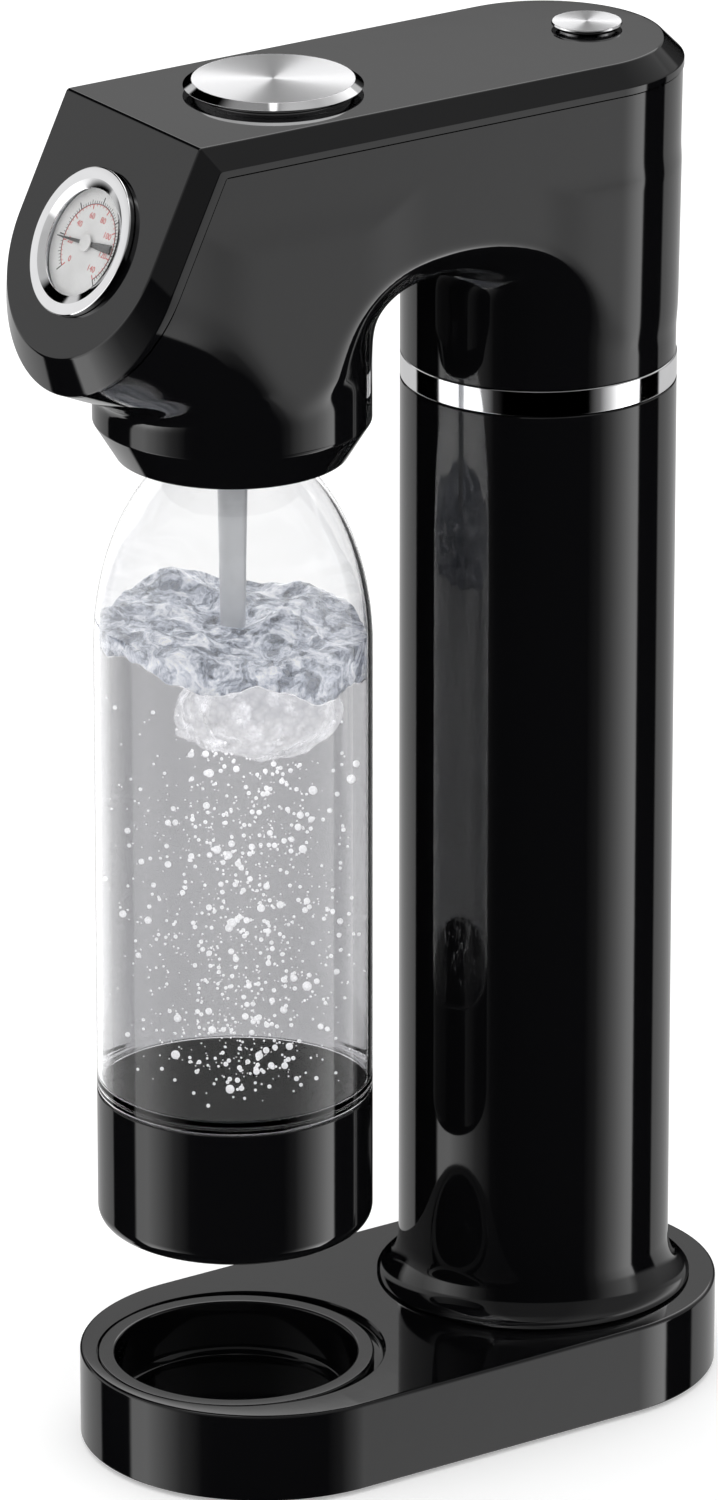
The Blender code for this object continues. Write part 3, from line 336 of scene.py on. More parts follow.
def effect(name, inputs, outputs):
    """A shader node group with named inputs (name, default) and outputs (name, kind)."""
    tree = bpy.data.node_groups.new(name, "ShaderNodeTree")
    for label, kind, value in inputs:
        socket = tree.interface.new_socket(label, in_out="INPUT", socket_type=kind)
        if value is not None:
            socket.default_value = value
    for label, kind in outputs:
        tree.interface.new_socket(label, in_out="OUTPUT", socket_type=kind)
    return tree, tree.nodes.new("NodeGroupInput"), tree.nodes.new("NodeGroupOutput")


def moulded_effect():
    """Moulded gloss: a faint ripple for the bump, and a cloudy roughness with rare dust specks."""
    tree, given, out = effect(
        "moulded_surface",
        [("Roughness", "NodeSocketFloat", 0.04), ("Spread", "NodeSocketFloat", 0.02),
         ("Ripple", "NodeSocketFloat", 90.0)],
        [("Roughness", "NodeSocketFloat"), ("Height", "NodeSocketFloat")],
    )
    place = wired(tree, "ShaderNodeTexCoord").outputs["Object"]
    cloud = wired(tree, "ShaderNodeTexNoise", Vector=place, Scale=38.0, Detail=3.0).outputs[0]
    fine = wired(tree, "ShaderNodeTexNoise", Vector=place, Scale=2600.0, Detail=1.0).outputs[0]
    speck = remapped(tree, fine, 0.78, 0.84, 0.0, 0.1)
    spread = worked(tree, "MULTIPLY", cloud, given.outputs["Spread"])
    base = worked(tree, "ADD", spread, given.outputs["Roughness"])
    tree.links.new(worked(tree, "ADD", base, speck), out.inputs["Roughness"])
    ripple = wired(tree, "ShaderNodeTexNoise", Vector=place, Scale=given.outputs["Ripple"], Detail=2.0)
    tree.links.new(ripple.outputs[0], out.inputs["Height"])
    return tree


def grain_effect():
    """Fine grain: a height and a 0 to 1 mask of small irregular cells, for matt mouldings and rubber."""
    tree, given, out = effect(
        "fine_grain",
        [("Scale", "NodeSocketFloat", 900.0)],
        [("Height", "NodeSocketFloat"), ("Mask", "NodeSocketFloat")],
    )
    place = wired(tree, "ShaderNodeTexCoord").outputs["Object"]
    cells = wired(tree, "ShaderNodeTexVoronoi", Vector=place, Scale=given.outputs["Scale"]).outputs[0]
    cloud = wired(tree, "ShaderNodeTexNoise", Vector=place, Scale=120.0, Detail=4.0).outputs[0]
    tree.links.new(cells, out.inputs["Height"])
    tree.links.new(cloud, out.inputs["Mask"])
    return tree


def ring_effect():
    """Spun metal: a value that changes only with the distance from an axis, as turning marks do."""
    tree, given, out = effect(
        "turning_marks",
        [("Centre", "NodeSocketVector", None), ("Pitch", "NodeSocketFloat", 5200.0)],
        [("Height", "NodeSocketFloat")],
    )
    place = wired(tree, "ShaderNodeTexCoord").outputs["Object"]
    offset = wired(tree, "ShaderNodeVectorMath", {"operation": "SUBTRACT"},
                   _0=place, _1=given.outputs["Centre"])
    reach = wired(tree, "ShaderNodeVectorMath", {"operation": "LENGTH"}, _0=offset.outputs[0])
    rings = wired(tree, "ShaderNodeTexNoise", {"noise_dimensions": "1D"}, W=reach.outputs["Value"],
                  Scale=given.outputs["Pitch"], Detail=3.0, Roughness=0.7)
    tree.links.new(rings.outputs[0], out.inputs["Height"])
    return tree


MOULDED, GRAIN, RINGS = moulded_effect(), grain_effect(), ring_effect()


def placed(finish, group, **values):
    """One of the shared effects, placed in a material with its own values."""
    made = finish.tree.nodes.new("ShaderNodeGroup")
    made.node_tree = group
    for socket, value in values.items():
        made.inputs[socket].default_value = value
    return made


def bumped(finish, height, strength, distance):
    bump = finish.node("ShaderNodeBump", Height=height, Strength=strength, Distance=distance)
    return finish.feed("Normal", bump.outputs[0])


def gloss_plastic(name, colour, roughness=0.03):
    """High-gloss moulded plastic."""
    made = Finish(name, Base_Color=(*colour, 1), IOR=1.5)
    surface = placed(made, MOULDED, Roughness=roughness)
    made.feed("Roughness", surface.outputs["Roughness"])
    bumped(made, surface.outputs["Height"], 0.05, 0.0002)
    return made.material


def matt_plastic(name, colour, roughness=0.45, scale=900.0, depth=0.00003):
    """Fine-grained moulding or rubber, its tone drifting a little."""
    made = Finish(name, Roughness=roughness)
    grain = placed(made, GRAIN, Scale=scale)
    dark, light = tuple(c * 0.8 for c in colour), tuple(min(1, c * 1.2) for c in colour)
    made.feed("Base Color", ramp_of(made.tree, grain.outputs["Mask"], [(0, dark), (1, light)]))
    bumped(made, grain.outputs["Height"], 0.3, depth)
    return made.material


def plain_metal(name, colour, roughness):
    """Plated or machined metal with a cloudy sheen."""
    made = Finish(name, Metallic=1.0)
    grain = placed(made, GRAIN, Scale=1500.0)
    mask = grain.outputs["Mask"]
    dark = tuple(c * 0.9 for c in colour)
    made.feed("Base Color", ramp_of(made.tree, mask, [(0, dark), (1, colour)]))
    made.feed("Roughness", remapped(made.tree, mask, 0, 1, roughness * 0.8, roughness * 1.3))
    return made.material


def spun_steel(name, centre):
    """Steel spun on a lathe: circular marks about the button's axis give radial fans of light."""
    made = Finish(name, Metallic=1.0, Anisotropic=0.95)
    marks = placed(made, RINGS)
    marks.inputs["Centre"].default_value = centre
    rings = marks.outputs[0]
    made.feed("Base Color", ramp_of(made.tree, rings, [(0.3, (0.72, 0.72, 0.73)), (0.7, (0.86, 0.86, 0.87))]))
    made.feed("Roughness", remapped(made.tree, rings, 0, 1, 0.30, 0.40))
    along = made.node("ShaderNodeTangent", {"direction_type": "RADIAL", "axis": "Z"})
    made.tree.links.new(along.outputs[0], made.shader.inputs["Tangent"])
    bumped(made, rings, 0.06, 0.00005)
    return made.material


def clear_material(name, ior, stops):
    """Clear plastic or water, its tint given by (share, colour) stops from its middle to its rim as the
    viewer sees it; any change along the stops is painted shade.
    """
    made = Finish(name, Transmission_Weight=1.0, IOR=ior, Roughness=0.0)
    # painted shade: the tint follows how edge-on the surface faces the viewer
    facing = made.node("ShaderNodeLayerWeight", Blend=0.5).outputs["Facing"]
    made.feed("Base Color", ramp_of(made.tree, facing, stops))
    return made.material


GLOSS_BLACK = gloss_plastic("gloss_black", (0.0028, 0.0028, 0.0032))
CHROME = plain_metal("chrome", (0.90, 0.90, 0.91), 0.05)
STEEL = plain_metal("steel", (0.55, 0.56, 0.58), 0.3)
BRASS = plain_metal("brass", (0.71, 0.53, 0.24), 0.28)
CYLINDER_PAINT = plain_metal("cylinder_paint", (0.45, 0.47, 0.50), 0.3)
INNER_PLASTIC = matt_plastic("inner_plastic", (0.025, 0.025, 0.027), 0.5)
GREY_PLASTIC = matt_plastic("grey_plastic", (0.62, 0.63, 0.65), 0.3, 1400.0, 0.00001)
RUBBER = matt_plastic("rubber", (0.018, 0.018, 0.018), 0.8, 1600.0)
DIAL_PRINT = matt_plastic("dial_print", (0.90, 0.90, 0.89), 0.55, 2500.0, 0.000005)
NEEDLE_BLACK = matt_plastic("needle_black", (0.01, 0.01, 0.01), 0.4, 3000.0, 0.000005)
SCALE_RED = matt_plastic("scale_red", (0.62, 0.07, 0.06), 0.5, 3000.0, 0.000005)

SLOT_FINISH = {
    "gloss_black": GLOSS_BLACK, "chrome": CHROME, "brushed_steel": STEEL, "brass": BRASS, "steel": STEEL,
    "inner_plastic": INNER_PLASTIC, "grey_plastic": GREY_PLASTIC, "rubber": RUBBER,
    "cylinder_paint": CYLINDER_PAINT, "dial_print": DIAL_PRINT, "needle_black": NEEDLE_BLACK,
}


def finish_packed_nodes():
    """Gives each carried-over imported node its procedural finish, by the record's material slot."""
    for part in frame["record"]["subparts"]:
        node = NODES[part["node"]]
        node.data.materials.clear()
        node.data.materials.append(SLOT_FINISH.get(part["material_slot"], GLOSS_BLACK))


# ---- head -----------------------------------------------------------------------------------------
def soft_min(a, b, width):
    """The lesser of two distances, with a fillet of that width where they cross."""
    share = np.maximum(width - np.abs(a - b), 0) / width
    return np.minimum(a, b) - share**3 * width / 6


def soft_max(a, b, width):
    return -soft_min(-a, -b, width)


def round_max(a, b, radius):
    """The greater of two distances, its edge rounded to that radius."""
    past_edge = np.hypot(np.maximum(a + radius, 0), np.maximum(b + radius, 0))
    return np.minimum(np.maximum(a, b), -radius) + past_edge


def head_field(p):
    """Signed distance to the lower head: a round-fronted arm over an arch, joined to neck and shroud."""
    x, y, z = p[..., 0], p[..., 1], p[..., 2]
    middle_y = (COLUMN_Y + BOTTLE_Y) / 2
    side = np.abs(x) - RADIUS
    down = (y - FACE_TOP[1]) * FACE_DOWN[1] + (z - FACE_TOP[2]) * FACE_DOWN[2] - FACE_CENTRE - CHIN_DROP
    belly = np.where(down > 0, np.hypot(x, np.maximum(down, 0)) - RADIUS, side)
    lean = REAR_DRAFT * np.clip((z - RING_TOP) / (HEAD_TOP - TOP_CHAMFER - RING_TOP), 0, 1)
    rear = y - COLUMN_Y - lean
    slot = np.where(rear > 0, np.hypot(x, np.maximum(rear, 0)) - RADIUS, side)
    across = (y - middle_y) / ARCH_HALF_SPAN
    rise = np.maximum(z - ARCH_SPRING, 0) / (ARCH_TOP - ARCH_SPRING)
    arch = (np.hypot(across, rise) - 1) * (ARCH_TOP - ARCH_SPRING)
    side = np.maximum(belly, slot)
    slope = (side - arch + ARCH_CHAMFER) / math.sqrt(2)
    arm = round_max(soft_max(side, slope, ARCH_CREASE), -arch, ARCH_EDGE)
    arm = soft_max(arm, ARM_FLOOR - z, FLOOR_BLEND)
    neck = np.maximum(np.hypot(x, y - COLUMN_Y) - RADIUS, z - JOIN_TOP)
    from_bottle = np.hypot(x, y - BOTTLE_Y)
    shroud = np.maximum(from_bottle - SHROUD_RADIUS, z - JOIN_TOP)
    growing = np.clip((z - SHROUD_CUT) / 0.02, 0.05, 1)
    body = soft_min(soft_min(arm, neck, NECK_FILLET * growing), shroud, SHROUD_FILLET * growing)
    body = soft_max(body, slot, REAR_BLEND)
    bore = np.maximum(np.hypot(x, y - COLUMN_Y) - RADIUS + CASTING_WALL, z - BORE_TOP)
    mouth = np.maximum(from_bottle - MOUTH_INNER, z - MOUTH_TOP)
    return np.maximum(np.maximum(body, -bore), -mouth)


def net(field, low, high, cell):
    """Quads on the surface where the field is nought.

    Each grid cell that the surface crosses holds one point, at the mean of its edges' crossings, and is then
    drawn along the field's slope onto the surface. A quad of four cells' points rings each crossed edge.
    """
    axes = [np.arange(a, b + cell, cell) for a, b in zip(low, high)]
    places = np.stack(np.meshgrid(*axes, indexing="ij"), -1)
    value = field(places)
    cells = tuple(n - 1 for n in value.shape)
    total, count = np.zeros(cells + (3,)), np.zeros(cells)
    crossings = []
    for axis in range(3):
        start = [slice(None)] * 3
        end = [slice(None)] * 3
        start[axis], end[axis] = slice(None, -1), slice(1, None)
        first, second = value[tuple(start)], value[tuple(end)]
        crossed = (first < 0) != (second < 0)
        share = np.where(crossed, first / np.where(crossed, first - second, 1), 0)[..., None]
        spot = places[tuple(start)] * (1 - share) + places[tuple(end)] * share
        spot = np.where(crossed[..., None], spot, 0)
        for b in (0, 1):
            for c in (0, 1):
                window = [slice(None)] * 3
                window[(axis + 1) % 3] = slice(b, b + cells[(axis + 1) % 3])
                window[(axis + 2) % 3] = slice(c, c + cells[(axis + 2) % 3])
                total += spot[tuple(window)]
                count += crossed[tuple(window)]
        crossings.append((axis, np.argwhere(crossed), first[crossed] < 0))
    used = count > 0
    number = np.full(cells, -1)
    number[used] = np.arange(used.sum())
    points = total[used] / count[used][:, None]
    step = cell * 1e-3
    for _ in range(6):
        ways = [step * e for e in np.eye(3)]
        slope = np.stack([field(points + way) - field(points - way) for way in ways], -1) / (2 * step)
        size = np.maximum((slope**2).sum(-1), 0.05)
        move = field(points)[:, None] * slope / size[:, None]
        points = points - np.clip(move, -cell, cell) * 0.9
    quads = []
    for axis, spots, outward in crossings:
        second, third = (axis + 1) % 3, (axis + 2) % 3
        b, c = np.eye(3, dtype=int)[[second, third]]
        inner = (spots[:, second] > 0) & (spots[:, third] > 0)
        inner &= (spots[:, second] < cells[second]) & (spots[:, third] < cells[third])
        spots, outward = spots[inner], outward[inner]
        ring = np.stack([number[tuple((spots - o).T)] for o in (b + c, c, 0 * b, b)], -1)
        quads.append(np.where(outward[:, None], ring, ring[:, ::-1]))
    return points, np.concatenate(quads)


def sliced(work, place, outward):
    """Cuts a bmesh by a plane, drops what lies outward of it and closes the cut."""
    everything = [*work.verts, *work.edges, *work.faces]
    cut = bmesh.ops.bisect_plane(work, geom=everything, dist=1e-7, plane_co=place, plane_no=outward,
                                 clear_outer=True)
    rim = [e for e in cut["geom_cut"] if isinstance(e, bmesh.types.BMEdge)]
    bmesh.ops.triangle_fill(work, use_beauty=False, use_dissolve=False, edges=rim)


def head_skin():
    """The lower head, from its distance field, cut square at the ring and along the cover's seam."""
    low = (-RADIUS - 0.003, FACE_TOP[1] - 0.040, SHROUD_CUT - 0.004)
    high = (RADIUS + 0.003, COLUMN_Y + RADIUS + REAR_DRAFT + 0.003, SEAM_HEIGHT + 0.004)
    points, quads = net(head_field, low, high, 0.00125)
    mesh = bpy.data.meshes.new("head_skin")
    mesh.from_pydata(points.tolist(), [], quads.tolist())
    work = bmesh.new()
    work.from_mesh(mesh)
    sliced(work, (0, 0, SHROUD_CUT), (0, 0, -1))
    sliced(work, (0, 0, SEAM_HEIGHT - SEAM_HALF), (0, 0, 1))
    front = FACE_TOP - FACE_NORMAL * (COVER_DEPTH + SEAM_HALF)
    sliced(work, tuple(front), tuple(FACE_NORMAL))
    bmesh.ops.remove_doubles(work, verts=work.verts, dist=5e-6)
    bmesh.ops.recalc_face_normals(work, faces=work.faces)
    work.to_mesh(mesh)
    work.free()
    mesh.shade_smooth()
    mesh.set_sharp_from_angle(angle=math.radians(40))
    mesh.materials.append(GLOSS_BLACK)
    return fit(linked("head_skin", mesh), "stand", "gloss_black", "head_body")


def shroud_lip():
    """The chamfered lower edge of the shroud: down the cone, round the lip and up the inner wall."""
    top = SHROUD_CUT
    line = rounded([
        (MOUTH_INNER, top, 0), (MOUTH_INNER, top - 0.0006, 0), (MOUTH_RADIUS, SHROUD_LOW + 0.003, 0.0008),
        (MOUTH_RADIUS, SHROUD_LOW, 0.0006), (MOUTH_RADIUS + 0.0020, SHROUD_LOW, 0.0008),
        (SHROUD_RADIUS, top - 0.0008, 0.0009), (SHROUD_RADIUS, top, 0), (MOUTH_INNER, top, 0),
    ])
    return turned("shroud_lip", line, BOTTLE_Y, GLOSS_BLACK, "stand", "gloss_black", count=192)


def cover_run(line):
    """Where one long line runs: from the chin's tip up the face, over the top edge and back to the rear tip.

    A line is its half width on top, height, radius and centre on the face, and depth at sides and chin.
    """
    x_top, height, radius, centre, side_depth, chin_depth = line
    chin = np.linspace(math.pi / 2, 0, 40)
    depth = side_depth + (chin_depth - side_depth) * np.sin(chin)
    down = centre + radius * np.sin(chin)
    face = FACE_TOP + down[:, None] * FACE_DOWN - depth[:, None] * FACE_NORMAL
    face[:, 0] = radius * np.cos(chin)
    corner_y = FACE_TOP[1] + (side_depth + (height - FACE_TOP[2]) * math.sin(FACE_TILT)) / math.cos(FACE_TILT)
    corner = np.array([radius, corner_y, height])
    round_off = 0.0009
    below, behind = corner + FACE_DOWN * round_off, corner + np.array([0, round_off, 0])
    t = np.linspace(0, 1, 5)[:, None]
    bend = below * (1 - t) ** 2 + corner * 2 * t * (1 - t) + behind * t**2
    ride = np.linspace(0, 1, 8)[1:-1, None]
    up_face = face[-1] * (1 - ride) + bend[0] * ride
    rear_turn = np.linspace(0, math.pi / 2, 40)
    rear = np.stack([x_top * np.cos(rear_turn), COLUMN_Y + REAR_DRAFT + x_top * np.sin(rear_turn),
                     np.full(40, height)], -1)
    back = bend[-1] * (1 - ride) + rear[0] * ride
    return np.concatenate([face, up_face, bend, back, rear])


def cover_skin():
    """The ribbon that folds over the top and the leaning front: its chamfered section on one long loop."""
    flat = np.array([RADIUS - TOP_CHAMFER, HEAD_TOP, FACE_RADIUS, FACE_CENTRE, 0, 0])
    chin, depth = FACE_CENTRE + CHIN_DROP, COVER_DEPTH - SEAM_HALF
    below = np.array([RADIUS, HEAD_TOP - TOP_CHAMFER, RADIUS, chin, SIDE_BEVEL, CHIN_BEVEL])
    rim = np.array([RADIUS, SEAM_HEIGHT + SEAM_HALF, RADIUS, chin, depth, depth])
    inside = flat + (flat - below) * np.array([0.07, 0, 0.07, 0, 0, 0])
    lines = []
    for before, at, after in ((inside, flat, below), (flat, below, rim)):
        start = at + (before - at) * min(1, 0.06 if before is flat else 1)
        end = at + (after - at) * 0.06
        lines += [start * (1 - t) ** 2 + at * 2 * t * (1 - t) + end * t**2 for t in np.linspace(0, 1, 4)]
    lines.append(rim)
    runs = [cover_run(line) for line in lines]
    centre = runs[0] * np.array([0, 1, 1])
    half = np.stack([centre, *runs], 1)
    left = half[:, :0:-1] * np.array([-1, 1, 1])
    piece = solid("cover_skin", [patch(np.concatenate([left, half], 1))], GLOSS_BLACK)
    thick = piece.modifiers.new("wall", "SOLIDIFY")
    thick.thickness, thick.offset, thick.use_even_offset = COVER_WALL, -1, False
    settled(piece)
    ways = [
        cutter("button_way", drum(BUTTON_WAY, 0.40, 0.46), GLOSS_BLACK, BUTTON_Y),
        cutter("release_way", drum(RELEASE_WAY, 0.40, 0.46), GLOSS_BLACK, RELEASE_Y),
        cutter("gauge_way", drum(GAUGE_WAY, -0.01, 0.01), GLOSS_BLACK, place=on_gauge),
    ]
    return fit(carved(piece, ways), "stand", "gloss_black", "head_cover")


# ---- column and base ------------------------------------------------------------------------------
CASING_WALL = 0.0025
FLARE_HEIGHT = 0.0130                           # quarter ellipse that spreads the column into its foot
CUP_SEAT_DEPTH = 0.0030                         # how far the cup's rim sits below the base's top
FINGER_RADIUS = 0.0439                          # finger recess round the cup's rim
FINGER_SHIFT = 0.0028                           # and how far its centre lies behind the bottle's axis
CYLINDER_WAY = 0.0340


def column_skin():
    low, top = corners("column_shell")[0][2], corners("column_shell")[1][2]
    inner = RADIUS - CASING_WALL
    flare_radius = corners("column_shell")[1][0]
    a = np.linspace(math.radians(84), 0, 16)
    sweep_radius = flare_radius - RADIUS
    foot_edge = low + 0.0012
    flare_z = foot_edge + FLARE_HEIGHT * (1 - np.sin(a))
    flare = np.stack([RADIUS + sweep_radius * (1 - np.cos(a)), flare_z], -1)
    line = np.concatenate([
        [(inner, low), (flare_radius - 0.0006, low), (flare_radius - 0.0001, low + 0.0006)],
        flare, [(RADIUS, low + 0.05), (RADIUS, top - 0.0003), (RADIUS - 0.0003, top)],
        [(inner, top), (inner, low)],
    ])
    return turned("column_skin", line, COLUMN_Y, GLOSS_BLACK, "stand", "gloss_black", "column_shell",
                  count=256)


def chrome_band():
    inner = RADIUS - CASING_WALL
    line = rounded([
        (inner, RING_LOW, 0), (RADIUS, RING_LOW, 0.0004), (RADIUS, RING_TOP, 0.0004), (inner, RING_TOP, 0),
        (inner, RING_LOW, 0),
    ])
    return turned("chrome_band", line, COLUMN_Y, CHROME, "stand", "chrome", "chrome_ring", count=256)


def base_outline(inset, count=96):
    """Two arcs joined by straight sides, a given distance inside the base's edge."""
    radius = BASE_HALF - inset
    rear_y = corners("base_shell")[1][1] - BASE_HALF
    front_y = corners("base_shell")[0][1] + BASE_HALF
    a = np.linspace(0, math.pi, count)
    rear = np.stack([radius * np.cos(a), rear_y + radius * np.sin(a)], -1)
    front = np.stack([-radius * np.cos(a), front_y - radius * np.sin(a)], -1)
    return np.concatenate([rear, front])


def base_skin():
    """The base: its edge section carried round the outline, then the ways for cup and cylinder cut out."""
    plate_top = corners("base_bottom_plate")[1][2] + GAP
    section = rounded([
        (BASE_HALF, plate_top, 0), (0.0025, plate_top, 0), (0.0025, BASE_LOW, 0), (0, BASE_LOW, 0.0005),
        (0, BASE_TOP, 0.0011), (BASE_HALF, BASE_TOP, 0),
    ])
    rows = [np.column_stack([base_outline(inset), np.full(192, z)]) for inset, z in section]
    piece = solid("base_skin", [patch(np.stack(rows), around=True)], GLOSS_BLACK, sharp=40, outward=True)
    cup_radius = corners("drip_cup")[1][0]
    cup_low = corners("drip_cup")[0][2]
    above = 0.05
    seat = BASE_TOP - CUP_SEAT_DEPTH
    well, ledge = cup_radius - 0.0040, cup_radius + 0.0004
    lead = FINGER_RADIUS + 0.0005
    floor = cup_low - 0.001
    cup_seat = [(0, floor), (well, floor), (well, seat), (ledge, seat), (ledge, above), (0, above)]
    recess = rounded([
        (0, seat, 0), (FINGER_RADIUS, seat, 0.0010), (FINGER_RADIUS, BASE_TOP - 0.0004, 0),
        (lead, BASE_TOP + 0.0001, 0), (lead, above, 0), (0, above, 0),
    ])
    ways = [
        cutter("cup_seat", cup_seat, GLOSS_BLACK, BOTTLE_Y),
        cutter("finger_recess", recess, GLOSS_BLACK, BOTTLE_Y + FINGER_SHIFT),
        cutter("cylinder_way", drum(CYLINDER_WAY, -0.01, above), GLOSS_BLACK, COLUMN_Y),
    ]
    return fit(carved(piece, ways, 40), "stand", "gloss_black", "base_shell")


def cup_skin():
    """The lift-out drip cup: a flat rim, a soft inner edge and a round-bottomed bowl."""
    low, high = corners("drip_cup")
    rim, floor = high[0], low[2]
    body = rim - 0.0045
    inner = body - 0.0015
    line = rounded([
        (0, floor, 0), (body, floor, 0.0030), (body, BASE_TOP - 0.0022, 0), (rim, BASE_TOP - 0.0022, 0.0004),
        (rim, BASE_TOP, 0.0007), (inner + 0.0008, BASE_TOP, 0.0008), (inner, BASE_TOP - 0.004, 0.001),
        (inner, floor + 0.0015, 0.0035), (0, floor + 0.0015, 0),
    ], 6)
    return turned("cup_skin", line, BOTTLE_Y, GLOSS_BLACK, "drip_cup", "gloss_black", "drip_cup", count=192)


# ---- bottle and what is in it ---------------------------------------------------------------------
SHOULDER_START = 0.2635
SHOULDER_RISE = 0.0670
BOTTLE_WALL = 0.0014
NECK_RADIUS = 0.0150
CUP_WALL = 0.0018
BOTTLE_FOOT = BOTTLE_LOW + 0.0060               # the clear bottle's own underside, inside its cup
IN_CUP = BOTTLE_RADIUS - 0.0021                 # its radius there


def shoulder_line(inset, low_angle, high_angle, count):
    """Quarter ellipse from the bottle's side up to its neck, a wall's thickness in if asked."""
    a = np.radians(np.linspace(low_angle, high_angle, count))
    radius, rise = BOTTLE_RADIUS - inset, SHOULDER_RISE - inset
    return np.stack([radius * np.cos(a), SHOULDER_START + rise * np.sin(a)], -1)


def bottle_skin(finish):
    """The clear bottle: foot, side, shoulder and neck as one outer line, with its wall as the inner one."""
    neck, bore = NECK_RADIUS, NECK_RADIUS - BOTTLE_WALL
    side, inner_side = BOTTLE_RADIUS, BOTTLE_RADIUS - BOTTLE_WALL
    floor, in_wall = BOTTLE_FOOT + BOTTLE_WALL, IN_CUP - BOTTLE_WALL
    step = BOTTLE_CUP_TOP + 0.0004
    outer = np.concatenate([
        rounded([(0, BOTTLE_FOOT, 0), (IN_CUP, BOTTLE_FOOT, 0.008), (IN_CUP, step, 0.0001),
                 (side, step, 0.0006), (side, BOTTLE_CUP_TOP + 0.006, 0)], 8),
        shoulder_line(0, 0, math.degrees(math.acos(neck / side)), 48),
        rounded([(neck, SHOULDER_START + SHOULDER_RISE, 0), (neck, NECK_TOP, 0.0004),
                 (bore, NECK_TOP, 0.0004), (bore, NECK_TOP - 0.004, 0)]),
    ])
    inner = np.concatenate([
        rounded([(0, floor, 0), (in_wall, floor, 0.007), (in_wall, BOTTLE_CUP_TOP + 0.002, 0.001),
                 (inner_side, BOTTLE_CUP_TOP + 0.0045, 0.002), (inner_side, BOTTLE_CUP_TOP + 0.010, 0)], 8),
        shoulder_line(BOTTLE_WALL, 0, math.degrees(math.acos(bore / inner_side)), 48),
    ])[::-1]
    line = np.concatenate([outer, inner])
    return turned("bottle_skin", line, BOTTLE_Y, finish, "bottle", "clear_plastic", "bottle_body",
                  count=192, sharp=50)


def bottle_cup_skin():
    """The black cup that the bottle stands in, open at the top."""
    inside, floor = BOTTLE_RADIUS - CUP_WALL, BOTTLE_LOW + CUP_WALL
    line = rounded([
        (0, BOTTLE_LOW, 0), (BOTTLE_RADIUS, BOTTLE_LOW, 0.0055), (BOTTLE_RADIUS, BOTTLE_CUP_TOP, 0.0005),
        (inside, BOTTLE_CUP_TOP, 0.0004), (inside, floor, 0.0040), (0, floor, 0),
    ], 8)
    return turned("bottle_cup_skin", line, BOTTLE_Y, GLOSS_BLACK, "bottle", "gloss_black", "bottle_cup",
                  count=192)


def waves(x, y, seed, octaves=5, first=70.0):
    """Sharp-crested waves: a sum of folded sines in seeded directions, each finer and lower than the last."""
    draw = np.random.default_rng(seed)
    total, height = 0 * x, 1.0
    for _ in range(octaves):
        for _ in range(3):
            a, phase = draw.uniform(0, 2 * math.pi, 2)
            bend = 0.6 * np.sin(first * 0.7 * (x * math.sin(a) - y * math.cos(a)) + phase * 2)
            along = first * (x * math.cos(a) + y * math.sin(a))
            total = total + height * (1 - 2 * np.abs(np.sin(along + phase + bend)))
        height *= 0.55
        first *= 1.75
    return total / 3


WATER_GAP = 0.0004                              # between the water and the bottle's wall
WATER_RADIUS = BOTTLE_RADIUS - BOTTLE_WALL - WATER_GAP
WATER_TOP = 0.2690
PLUME_COUNT, STRAY_COUNT = 1150, 220
PLUME_TOP, PLUME_FALL = 0.236, 0.118            # the plume starts here and reaches this far down
STRAY_LOW, STRAY_HIGH = 0.125, 0.252
FROTH_REACH, FROTH_RISE = 0.0255, 0.0140        # half width and half height of the froth
FROTH_CENTRE = np.array([0.004, BOTTLE_Y + 0.006, 0.2430])


def disc_grid(radius, rings=90, spokes=240):
    """Polar grid of points over a disc, centre first."""
    r = np.linspace(0, radius, rings)[:, None]
    a = np.linspace(0, 2 * np.pi, spokes, endpoint=False)
    return r * np.cos(a), r * np.sin(a)


def splash_heights(x, y):
    """Upper and lower face of the churned layer: rough all over and deeper on the nozzle's right."""
    lean = (x * 0.56 + y * 0.83) / WATER_RADIUS
    upper = WATER_TOP + 0.0040 + 0.0030 * waves(x, y, 3) - 0.0015 * lean
    lower = WATER_TOP - 0.0070 - 0.0055 * np.clip(lean + 0.2, -0.6, 1) - 0.0034 * waves(x, y, 11, 5, 85.0)
    return upper, np.minimum(lower, upper - 0.001)


def splash(finish):
    """The churned surface of the water: an upper and a lower wavy sheet that meet in a thick rim."""
    x, y = disc_grid(WATER_RADIUS)
    upper, lower = splash_heights(x, y)
    top = np.stack([x, y + BOTTLE_Y, upper], -1)
    bottom = np.stack([x, y + BOTTLE_Y, lower], -1)
    sheets = patch(np.concatenate([bottom, top[::-1]]), around=True)
    piece = solid("splash", [sheets], finish, sharp=180, outward=True)
    return fit(piece, "bottle", None)


def water(finish):
    """The still water under the churned layer, a little inside the bottle's wall."""
    foot_z = BOTTLE_FOOT + BOTTLE_WALL + WATER_GAP
    in_cup = IN_CUP - BOTTLE_WALL - WATER_GAP
    side = rounded([
        (0, foot_z, 0), (in_cup, foot_z, 0.0065), (in_cup, BOTTLE_CUP_TOP + 0.002, 0.001),
        (WATER_RADIUS, BOTTLE_CUP_TOP + 0.0045, 0.002), (WATER_RADIUS, 0.20, 0),
    ], 8)
    grid = turn(side, BOTTLE_Y, 240)
    x, y = disc_grid(WATER_RADIUS)
    lower = splash_heights(x, y)[1] - WATER_GAP
    top = np.stack([x, y + BOTTLE_Y, lower], -1)[::-1]
    piece = solid("water", [patch(np.concatenate([grid, top]), around=True)], finish, sharp=60)
    return fit(piece, "bottle", None)


def ball(rows=5, columns=8):
    """A small closed sphere of few faces as points and quads."""
    polar = np.linspace(np.pi, 0, rows + 1)
    profile = np.stack([np.sin(polar), np.cos(polar)], -1)
    return patch(turn(profile, 0, columns), around=True)


